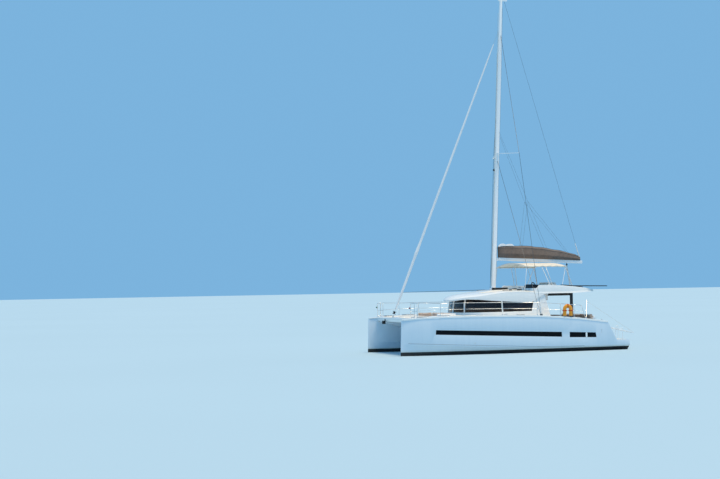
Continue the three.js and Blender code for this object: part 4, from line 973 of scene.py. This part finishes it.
def dress_helm():
    """Console with its screens and levers, windscreen, wheel with its grip, and the seat's pads."""
    refine(("helm_console", "black", 0.012, 30, 3), ("helm_wheel", "steel", 0, 60),
           ("helm_seat", "gelcoat", 0.02, 30, 3))
    tilt = Matrix.Translation(WHEEL_CENTRE) @ Matrix.Rotation(0.26, 4, "Y")
    rim = [tilt @ p for p in arc((0, 0, 0), 0.255, 0, 345, 46, (0, 1, 0), (0, 0, 1))]
    settle(tubes([rim], 0.0205, closed=True), "wheel_grip", "black", "helm", 60)
    screens = [block((-1.6, y0, z0), (-1.588, y1, z1), 0.004) for y0, y1, z0, z1 in (
        (1.2, 1.41, 3.13, 3.3), (0.68, 0.86, 3.16, 3.3), (0.92, 1.14, 3.24, 3.31))]
    settle(joined(*screens), "helm_screens", "acrylic")
    lever = joined(block((-1.64, 0.7, 3.05), (-1.59, 0.8, 3.12), 0.012), tubes([
        [(-1.62, 0.725, 3.11), (-1.66, 0.725, 3.22)], [(-1.62, 0.775, 3.11), (-1.64, 0.775, 3.23)]], 0.008))
    settle(lever, "throttle_levers", "steel")

    def wind_screen(u, v):
        out = abs(u * 2 - 1)
        return Vector((-1.455 - 0.06 * out ** 3 - 0.05 * v, 0.42 + 1.6 * u, 3.132 + v * (0.2 - 0.03 * out ** 4)))

    screen = sheet_of(wind_screen, 24, 6)
    apply_modifier(screen, "SOLIDIFY", thickness=0.008, offset=0)
    settle(screen, "helm_windscreen", "acrylic")
    for index, y in enumerate((0.765, 1.335)):
        pad(f"helm_seat_pad_{index}", (-2.765, y - 0.28, 3.325), (-2.305, y + 0.28, 3.415), 80 + index,
            finish="vinyl")


def dress_bimini():
    """The canopy with its hems, seams and valances, and its frame."""
    refined("bimini_frame", "paint", 0, 65)
    low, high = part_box("bimini_canopy")
    half = high.y
    edge, crown = 4.245, 4.445
    bows = (high.x - 0.04, -1.96, low.x + 0.04)

    def cloth(u, v):
        x = low.x + 0.004 + (high.x - low.x - 0.008) * u
        y = (v * 2 - 1) * (half - 0.004)
        drop = 0.01 * max(0, (x + 1.65) / 0.64) ** 2 + 0.03 * max(0, (-2.65 - x) / 0.57) ** 2
        hem = 0.012 * math.sin(u * 34) * max(0, abs(v * 2 - 1) - 0.93) / 0.07
        sag = 0.018 * min(1.0, min(abs(x - bow) for bow in bows) / 0.4) ** 1.5
        z = crown - (crown - edge) * (y / half) ** 2 - drop - sag * (1 - (y / half) ** 2) + hem - 0.004
        return Vector((x, y, z))

    width, length = high.x - low.x, 3.84
    canopy = sheet_of(cloth, 60, 96, (width, length))
    apply_modifier(canopy, "SOLIDIFY", thickness=0.0016, offset=-1)
    settle(canopy, "bimini_cloth", "canvas", smooth=0, stands_for=("bimini_canopy",))
    pick(canopy)
    bpy.ops.object.shade_smooth()
    hems = [[cloth(i / 40, k) for i in range(41)] for k in (0, 1)]
    hems += [[cloth(k, i / 60) for i in range(61)] for k in (0, 1)]
    seams = [[cloth(k, i / 60) + Vector((0, 0, 0.001)) for i in range(61)] for k in (0.26, 0.5, 0.74)]
    edges = joined(tubes(hems, 0.006, sides=2), tubes(seams, 0.0035, sides=1))
    settle(edges, "bimini_hems", "canvas", smooth=60)
    deep = 0.035
    for side, share, out in (("port", 1, 1), ("starboard", 0, -1)):
        def valance(u, v):
            wave = 0.005 * math.sin(u * 40) * v
            fall = deep * v * (1 + 0.04 * math.sin(u * 62))
            return cloth(u, share) + Vector((0, out * (0.004 + wave), -fall))

        flap = sheet_of(valance, 80, 5, (width, deep))
        apply_modifier(flap, "SOLIDIFY", thickness=0.0015, offset=0)
        settle(flap, f"bimini_valance_{side}", "canvas", smooth=60)


def dress_lacing():
    """Line laced between the paired legs of the canopy's frame and round its aft leg."""
    heads = [Vector((x, 1.8518, 4.2197)) for x in (-1.86, -2.08)]
    feet = [Vector((-2.19, 2.17, 3.18)), Vector((-2.32, 2.168, 3.18))]
    zigzag = []
    for k in range(19):
        side = k % 2
        zigzag.append(heads[side].lerp(feet[side], 0.06 + 0.84 * k / 18) + Vector((-0.016 if side else 0.016, 0, 0)))
    top, foot = Vector((-3.18, 1.8518, 4.19)), Vector((-3.47, 2.09, 3.1))
    along = (foot - top).normalized()
    across = along.cross(Vector((0, 1, 0))).normalized()
    turns, steps = 14, 12
    wrap = []
    for k in range(turns * steps + 1):
        turn = k / steps * 2 * math.pi
        out = math.cos(turn) * across + math.sin(turn) * along.cross(across)
        wrap.append(top.lerp(foot, 0.04 + 0.84 * k / (turns * steps)) + 0.0195 * out)
    pair(tubes([zigzag, wrap], 0.004, sides=1), "canopy_lacing", "dark_rope", 60)


def dress_solar():
    """The solar panel's frame, and its cells in three panes that follow its slope."""
    refined("solar_panel", "black", 0.003, 30, 1, slot="panel")
    low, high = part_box("solar_panel")
    rim, top, slope = 0.03, 3.2565, 0.0191
    pitch = (high.x - low.x - rim) / 3
    ends = [low.x + i * pitch for i in range(3)]
    cells = joined(*[block((x + rim, low.y + rim, top), (x + pitch, high.y - rim, top + 0.006), 0) for x in ends])
    for vertex in cells.data.vertices:
        vertex.co.z += (vertex.co.x - high.x) * slope
    settle(cells, "solar_cells", "cells", smooth=0)


def dress_mast():
    """Mast with its luff track and halyards, spreaders, wires with their screws, and the masthead gear."""
    refine(("mast", "paint", 0.003, 50), ("spreader_{}", "paint", 0.004, 40), ("shroud_{}", "wire", 0, 65))
    aft = [mast_axis(z) + Vector((-0.124 + 0.03 * max(0, (z - 14.5) / 3.5), 0, 0)) for z in (4.0, 14.5, 17.6)]
    settle(tubes([aft], 0.012, sides=2), "luff_track", "alloy")
    halyards = [[mast_axis(z) + Vector((x * (1 - 0.02 * (z / 18)), y, 0)) for z in (3.3, 9.0, top)]
                for y, x, top in ((0.06, 0.115, 16.3), (-0.05, 0.118, 17.3), (0.02, 0.13, 15.2))]
    settle(tubes(halyards, 0.006, sides=2), "halyards", "rope")
    level = mast_axis(9.2)
    lamp = turn_profile([(0, 0.06), (0.03, 0.055), (0.038, 0.02), (0.038, -0.02), (0, -0.03)],
                        level + Vector((0.16, 0, 0)), steps=18)
    bracket = block(level + Vector((0.1, -0.03, -0.04)), level + Vector((0.18, 0.03, -0.02)), 0.006)
    settle(joined(lamp, bracket), "steaming_light", "black")
    head = mast_axis(MAST_TOP)
    aerial, vane = [[head + Vector(place) for place in run] for run in (
        ((0.1, 0.03, -0.02), (0.1, 0.03, 0.42)), ((-0.2, 0, -0.02), (-0.42, 0, 0.16), (-0.42, 0, 0.3)))]
    light = turn_profile([(0, 0), (0.04, 0), (0.045, 0.03), (0.04, 0.07), (0, 0.09)], head - Vector((0, 0, 0.01)),
                         steps=16)
    gear = joined(tubes([aerial], 0.004, sides=1), tubes([vane], 0.006, sides=1), light)
    settle(gear, "masthead_gear", "black")
    screws = []
    for sign in (1, -1):
        for lean, rake in ((0.0, 0.05), (0.04, 0.1)):
            foot = Vector((-1.15 + lean, 3.2 * sign, deck_z(-1.15, 3.1) + 0.09))
            screws.append([foot, foot + Vector((rake, -0.19 * sign, 1.0)).normalized() * 0.36])
    settle(tubes(screws, 0.0115), "rigging_screws", "steel")


def bag(u, v):
    """The sail bag's cloth: u runs aft, and v from its foot on port over its top to its foot on starboard."""
    x = BAG_FORE + u * (BAG_AFT - BAG_FORE)
    top, low, high = tabled(BAG_ROWS, x)
    low *= min(1.0, 0.5 + (BAG_FORE - x) / 0.12)
    high += 0.012
    foot = 4.726 + 0.2 * (x + 0.345) / 4.695
    rise = top - foot
    t = 1 - abs(v - 0.5) * 2
    droop = 0.016 * min(1.0, min(abs(x - tie) for tie in BAG_TIES) / 0.45) ** 2
    belly = 0.008 * math.sin(x * 9.0 + 2 * t) * math.sin(math.pi * t) + 0.004 * math.sin(x * 23 + 5 * t)
    if t < 0.12:
        share = t / 0.12
        width, z = 0.045 + (low * 0.85 - 0.045) * share, foot + rise * 0.1 * share
    elif t < 0.38:
        share = (t - 0.12) / 0.26
        width, z = low * (0.85 + 0.15 * share), foot + rise * (0.1 + 0.23 * share)
    elif t < 0.85:
        share = (t - 0.38) / 0.47
        width, z = low + (high - low) * share, foot + rise * (0.33 + 0.52 * share) - droop * share
    else:
        share = (t - 0.85) / 0.15
        width, z = high * (1 - share ** 1.5), foot + rise * (0.85 + 0.13 * share) - droop
    side = 1 if v < 0.5 else -1
    return Vector((x, side * max(0.002, width + belly * min(1, t * 4) * (1 - t) * 2), z))


def sail_head(u, v):
    """The folds of sail that show over the bag's fore end."""
    x = -0.32 - 0.9 * u
    crown = bag((x - BAG_FORE) / (BAG_AFT - BAG_FORE), 0.5).z
    pleat = abs(math.sin(v * math.pi * 3)) ** 0.6
    heap = 0.045 + 0.08 * abs(math.sin(u * 2 * math.pi)) ** 0.7 * (1.0 if u < 0.5 else 0.7)
    rise = heap * pleat * min(1.0, u * 8, (1 - u) * 8)
    return Vector((x, (v * 2 - 1) * 0.058 + 0.004 * math.sin(x * 21), crown - 0.012 + rise))


def dress_boom():
    """Boom, and the bag with its zip, battens, seams and the head of the stowed sail."""
    refined("boom", "paint", 0.008, 40, 3)
    cover = sheet_of(bag, 150, 48, BAG_FLAT)
    apply_modifier(cover, "SOLIDIFY", thickness=0.002, offset=-1)
    settle(cover, "sail_bag_cloth", "bag", "boom", 0, ("sail_bag",))
    pick(cover)
    bpy.ops.object.shade_smooth()
    zip_line = [bag(i / 80, 0.5) + Vector((0, 0, 0.004)) for i in range(81)]
    battens = [[bag(i / 80, 0.5 + k * 0.085) + Vector((0, -k * 0.004, 0)) for i in range(81)] for k in (-1, 1)]
    seams = [[bag(u, 0.02 + 0.96 * i / 40) for i in range(41)] for u in (0.2, 0.42, 0.66, 0.86)]
    settle(tubes([zip_line], 0.008, sides=2), "bag_zip", "black", "boom", 60)
    settle(tubes(battens, 0.009, sides=2), "bag_battens", "bag", "boom", 60)
    settle(tubes(seams, 0.004, sides=1), "bag_seams", "bag", "boom", 60)
    sail = sheet_of(sail_head, 60, 36, FOLDS_FLAT)
    apply_modifier(sail, "SOLIDIFY", thickness=0.0016, offset=-1)
    settle(sail, "mainsail_folds", "sail", "boom", 60)


def running_line(runs, radius, sides, cuts, name, finish):
    """Lines cut into short lengths, settled without a body, with their place baked into their mesh."""
    line = edit(tubes(runs, radius, sides=sides), lambda: bpy.ops.mesh.subdivide(number_cuts=cuts))
    settle(line, name, finish, None, 60)
    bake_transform(line)


def dress_running_lines():
    """Topping lift, lazy jacks and mainsheet, with the sheet's blocks."""
    lift = [[mast_axis(17.9) + Vector((-0.2, 0, 0)), Vector((-4.96, 0, 4.52))]]
    running_line(lift, 0.005, 2, 24, "topping_lift", "dark_rope")
    settle(tubes([[(-4.93, 0, 4.62), (-4.68, 0, 5.42)]], 0.024), "lift_cover", "sail", "boom", 60)
    jacks = []
    for sign in (1, -1):
        knot = Vector((-1.95, 0.2 * sign, 7.6))
        jacks.append([mast_axis(11.2) + Vector((-0.05, 0.06 * sign, 0)), knot])
        jacks += [[knot, Vector((x, y * sign, z))] for x, y, z in JACK_ENDS]
    running_line(jacks, 0.0035, 1, 12, "lazy_jacks", "dark_rope")
    base = deck_z(SHEET_X, 0, "roof")
    parts = [[(SHEET_X + a, b, base + 0.1), (SHEET_X + SHEET_RAKE + a, b, SHEET_TOP - 0.1)] for a, b in SHEET_PARTS]
    running_line(parts, 0.0055, 2, 14, "mainsheet", "rope")
    foot = block((SHEET_X - 0.05, -0.28, base - 0.006), (SHEET_X + 0.05, 0.28, base + 0.02), 0.008)
    settle(joined(sheet_block(Vector((SHEET_X, 0, base + 0.06))), foot), "mainsheet_foot", "black")
    head = sheet_block(Vector((SHEET_X + SHEET_RAKE, 0, SHEET_TOP - 0.07)))
    settle(head, "mainsheet_head", "black", "boom")


def sheet_block(place):
    """A double sheave block with its shackle."""
    cheeks = turn_profile([(0, -0.034), (0.03, -0.034), (0.04, -0.026), (0.04, 0.026), (0.03, 0.034), (0, 0.034)],
                          place, (0, 1, 0), 20)
    half = Vector((0.012, 0.02, 0.062))
    return joined(cheeks, block(place - half, place + half, 0.006))


def dress_headsail():
    """The furled jib: cloth wound round its foil with the turns' edges showing, its stay, drum and sheets."""
    def roll(u, v):
        z = JIB_FOOT + v * JIB_LUFF
        angle = u * 2 * math.pi
        lip = 0.06 * (1 - (u - z * 0.36) % 1.0) ** 2 + 0.012 * math.sin(z * 17 + angle * 3)
        radius = tabled(JIB_ROWS, z)[0] * (0.95 + lip)
        return stay_point(z) + Vector((radius * math.cos(angle), radius * math.sin(angle), 0))

    sail = sheet_of(roll, 40, 620, (0.4, JIB_LUFF))
    edit(sail, lambda: bpy.ops.mesh.remove_doubles(threshold=1e-5),
         lambda: bpy.ops.mesh.select_all(action="DESELECT"), lambda: bpy.ops.mesh.select_non_manifold(),
         lambda: bpy.ops.mesh.edge_face_add(), lambda: bpy.ops.mesh.select_all(action="SELECT"),
         lambda: bpy.ops.mesh.normals_make_consistent(inside=False))
    settle(sail, "furled_jib_cloth", "sail", smooth=50, stands_for=("furled_jib",))
    wire = tubes([[stay_point(1.83), stay_point(2.25)], [stay_point(15.6), stay_point(STAY_TOP_Z + 0.03)]], 0.0105)
    plate = block((STAY_FOOT.x - 0.055, -0.013, 1.80), (STAY_FOOT.x + 0.03, 0.013, 1.88), 0.006)
    settle(joined(wire, plate), "headstay", "steel")
    refined("furler_drum", "black", 0.002, 30)
    clew = stay_point(3.05) + Vector((-0.07, 0, 0))
    cars = [Vector((-0.2, 1.64 * sign, deck_z(TRACK_X, TRACK_Y, "roof") + 0.05)) for sign in (1, -1)]
    settle(tubes([[clew, car] for car in cars], 0.006, sides=2), "headsail_sheets", "dark_rope", smooth=60)


def dress_rails():
    """Guard rails with their sockets and lights, lifebuoy, staff, gate, gangway, ladder and anchor roller."""
    refine(("guard_rail_{}", "steel", 0, 65), ("flag_staff", "steel", 0, 65), ("gangway", "paint", 0, 65),
           ("swim_ladder", "steel", 0, 65), ("anchor_roller", "black", 0.003, 40),
           ("lifebuoy", "orange", 0.02, 50, 3))
    plan = [(x, topside_y(x) - 0.08) for x in SOCKET_XS]
    sockets = [turn_profile(SOCKET_PROFILE, (x, y, deck_z(x, y) - 0.002), steps=16) for x, y in plan]
    pair(joined(*sockets), "stanchion_sockets", "steel")
    straps = [block((x - 0.101, 3.266, 1.985), (x + 0.101, 3.39, 2.04), 0.022, 3) for x in (-2.685, -2.355)]
    straps.append(block((-2.548, 3.266, 2.139), (-2.492, 3.39, 2.341), 0.022, 3))
    settle(joined(*straps), "lifebuoy_straps", "strap")
    for side, y, finish in (("port", LIGHT_Y, "red_lens"), ("starboard", -LIGHT_Y, "green_lens")):
        lamp = turn_profile([(0, 0), (0.026, 0.002), (0.03, 0.02), (0.028, 0.045), (0, 0.052)], (LIGHT_X, y, LIGHT_Z),
                            steps=16)
        settle(lamp, f"side_light_{side}", finish)
        low, high = (LIGHT_X - 0.043, y - 0.022, LIGHT_Z - 0.02), (LIGHT_X + 0.033, y + 0.022, LIGHT_Z + 0.004)
        settle(block(low, high, 0.007), f"side_light_base_{side}", "black")
    gate = tubes([[(x, GATE_Y, z) for x, z in run] for run in GATE], 0.015)
    settle(gate, "transom_gate", "paint", smooth=60, slot="steel")
    lift = tubes([[(-3.7, 3.08, 2.45), (-6.49, 2.62, 0.83)]], 0.005, sides=2)
    settle(lift, "gangway_lift", "rope", smooth=60)


def dress_underwater():
    """Rudders, drives, propellers and engines."""
    refine(("rudder_{}", "hull", 0.004, 30), ("saildrive_{}", "engine", 0.004, 40),
           ("propeller_{}", "bronze", 0.003, 40), ("engine_{}", "engine", 0.02, 30, 3))


def dress_stage(look):
    """Floor at the waterline, soft lights, a pale sky and the photographed viewpoint."""
    scene = bpy.context.scene
    deselect()
    bpy.ops.mesh.primitive_circle_add(vertices=96, radius=look.floor_radius, fill_type="NGON", location=(0, 0, 0))
    floor = bpy.context.object
    floor.name = "studio_floor"
    floor.data.materials.append(finish_of("floor"))
    bpy.ops.object.light_add(type="SUN", location=(0, 0, 30))
    key = bpy.context.object
    key.name = "high_soft_key"
    key.data.energy = look.key_strength
    key.data.angle = look.key_width
    key.data.color = (1.0, 0.77, 0.5)
    key.rotation_mode = "QUATERNION"
    key.rotation_quaternion = (-Vector(look.key_from)).to_track_quat("-Z", "Y")
    world = bpy.data.worlds.new("studio_sky")
    world.use_nodes = True
    back = world.node_tree.nodes["Background"]
    back.inputs["Color"].default_value = linear("#82BCE8")
    back.inputs["Strength"].default_value = look.sky_strength
    scene.world = world
    forward = Vector((-math.sin(look.yaw) * math.cos(look.pitch), -math.cos(look.yaw) * math.cos(look.pitch),
                      math.sin(look.pitch)))
    level = forward.cross(Vector((0, 0, 1))).normalized()
    upright = level.cross(forward)
    right = level * math.cos(look.roll) - upright * math.sin(look.roll)
    up = level * math.sin(look.roll) + upright * math.cos(look.roll)
    camera = bpy.data.objects.new("viewpoint", bpy.data.cameras.new("viewpoint"))
    scene.collection.objects.link(camera)
    facing = Matrix((right, up, -forward)).transposed().to_4x4()
    camera.matrix_world = Matrix.Translation(Vector(look.position)) @ facing
    camera.data.lens = look.lens
    camera.data.sensor_width = 36
    camera.data.clip_end = 2000
    scene.camera = camera
    scene.view_settings.view_transform = "Standard"


class StageSettings(bpy.types.PropertyGroup):
    """Where the viewpoint stands and how bright the studio is."""

    position: bpy.props.FloatVectorProperty(
        name="Viewpoint", description="Where the viewpoint stands", size=3, subtype="TRANSLATION",
        default=(28.44, 65.86, 3.27))
    yaw: bpy.props.FloatProperty(
        name="Yaw", description="Turn of the view from straight across the boat", subtype="ANGLE",
        default=math.radians(17.97))
    pitch: bpy.props.FloatProperty(
        name="Pitch", description="Tilt of the view above level", subtype="ANGLE", default=math.radians(2.01))
    roll: bpy.props.FloatProperty(
        name="Roll", description="Lean of the horizon", subtype="ANGLE", default=math.radians(1.03))
    lens: bpy.props.FloatProperty(
        name="Lens", description="Focal length on a 36 mm sensor", default=70.05, min=10, unit="CAMERA")
    key_from: bpy.props.FloatVectorProperty(
        name="Key direction", description="Where the high light comes from", size=3, subtype="DIRECTION",
        default=(-0.15, 0.17, 1.0))
    key_strength: bpy.props.FloatProperty(
        name="Key", description="Strength of the wide, high light", default=3.3, min=0)
    key_width: bpy.props.FloatProperty(
        name="Key width", description="How wide the high light is, which softens its shadows", subtype="ANGLE",
        default=math.radians(24))
    sky_strength: bpy.props.FloatProperty(
        name="Sky", description="Strength of the pale blue surroundings", default=0.9, min=0)
    floor_radius: bpy.props.FloatProperty(
        name="Floor", description="Radius of the studio floor", default=900, unit="LENGTH")


class CATAMARAN_OT_hulls(bpy.types.Operator):
    """Hulls, keels, hull windows, gunwale beads and skin fittings"""
    bl_idname = "catamaran.hulls"
    bl_label = "Hulls"

    def execute(self, _context):
        dress_hulls()
        dress_steps()
        return {"FINISHED"}


class CATAMARAN_OT_deck(bpy.types.Operator):
    """Deck, non-slip panels, hatches, cleats and the lids that open"""
    bl_idname = "catamaran.deck"
    bl_label = "Deck"

    def execute(self, _context):
        dress_deck()
        dress_lids()
        dress_locker()
        return {"FINISHED"}


class CATAMARAN_OT_cabin(bpy.types.Operator):
    """Saloon walls and glass, roof with its lines and winches, coaming and door"""
    bl_idname = "catamaran.cabin"
    bl_label = "Cabin"

    def execute(self, _context):
        dress_cabin()
        dress_coaming()
        dress_roof_gear()
        return {"FINISHED"}


class CATAMARAN_OT_inside(bpy.types.Operator):
    """Saloon and cockpit furniture with its cushions"""
    bl_idname = "catamaran.inside"
    bl_label = "Saloon and cockpit"

    def execute(self, _context):
        dress_inside()
        return {"FINISHED"}


class CATAMARAN_OT_foredeck(bpy.types.Operator):
    """The foredeck lounge and its cushions"""
    bl_idname = "catamaran.foredeck"
    bl_label = "Foredeck lounge"

    def execute(self, _context):
        dress_foredeck()
        return {"FINISHED"}


class CATAMARAN_OT_helm(bpy.types.Operator):
    """Raised helm: console, wheel and seat"""
    bl_idname = "catamaran.helm"
    bl_label = "Helm"

    def execute(self, _context):
        dress_helm()
        return {"FINISHED"}


class CATAMARAN_OT_bimini(bpy.types.Operator):
    """Bimini canopy and frame, and the solar panels"""
    bl_idname = "catamaran.bimini"
    bl_label = "Bimini"

    def execute(self, _context):
        dress_bimini()
        dress_lacing()
        dress_solar()
        return {"FINISHED"}


class CATAMARAN_OT_rig(bpy.types.Operator):
    """Mast, spreaders, shrouds, boom, sail bag and furled headsail"""
    bl_idname = "catamaran.rig"
    bl_label = "Rig"

    def execute(self, _context):
        dress_mast()
        dress_boom()
        dress_running_lines()
        dress_headsail()
        return {"FINISHED"}


class CATAMARAN_OT_rails(bpy.types.Operator):
    """Guard rails, lifebuoy, flag staff, gangway, ladder and anchor roller"""
    bl_idname = "catamaran.rails"
    bl_label = "Rails and deck gear"

    def execute(self, _context):
        dress_rails()
        return {"FINISHED"}


class CATAMARAN_OT_underwater(bpy.types.Operator):
    """Rudders, drives, propellers and engines"""
    bl_idname = "catamaran.underwater"
    bl_label = "Under water"

    def execute(self, _context):
        dress_underwater()
        return {"FINISHED"}


class CATAMARAN_OT_stage(bpy.types.Operator):
    """Studio floor, lights and viewpoint"""
    bl_idname = "catamaran.stage"
    bl_label = "Stage"

    def execute(self, context):
        dress_stage(context.scene.catamaran_stage)
        return {"FINISHED"}


OPERATORS = (
    CATAMARAN_OT_stage, CATAMARAN_OT_hulls, CATAMARAN_OT_deck, CATAMARAN_OT_cabin, CATAMARAN_OT_inside,
    CATAMARAN_OT_foredeck, CATAMARAN_OT_helm, CATAMARAN_OT_bimini, CATAMARAN_OT_rig, CATAMARAN_OT_rails,
    CATAMARAN_OT_underwater,
)


class CATAMARAN_PT_panel(bpy.types.Panel):
    """Lists the boat's pieces and the stage"""
    bl_idname = "CATAMARAN_PT_panel"
    bl_label = "Sailing catamaran"
    bl_space_type = "VIEW_3D"
    bl_region_type = "UI"
    bl_category = "Catamaran"

    def draw(self, context):
        column = self.layout.column()
        for operator in OPERATORS:
            column.operator(operator.bl_idname)
        look = context.scene.catamaran_stage
        for name in ("key_strength", "key_width", "sky_strength", "lens"):
            column.prop(look, name)


CLASSES = (StageSettings, *OPERATORS, CATAMARAN_PT_panel)


def register():
    for cls in CLASSES:
        bpy.utils.register_class(cls)
    bpy.types.Scene.catamaran_stage = bpy.props.PointerProperty(type=StageSettings)


def unregister():
    del bpy.types.Scene.catamaran_stage
    for cls in reversed(CLASSES):
        bpy.utils.unregister_class(cls)


def main():
    register()
    for operator in OPERATORS:
        group, name = operator.bl_idname.split(".")
        getattr(getattr(bpy.ops, group), name)()
    deselect()


if __name__ == "__main__":
    main()
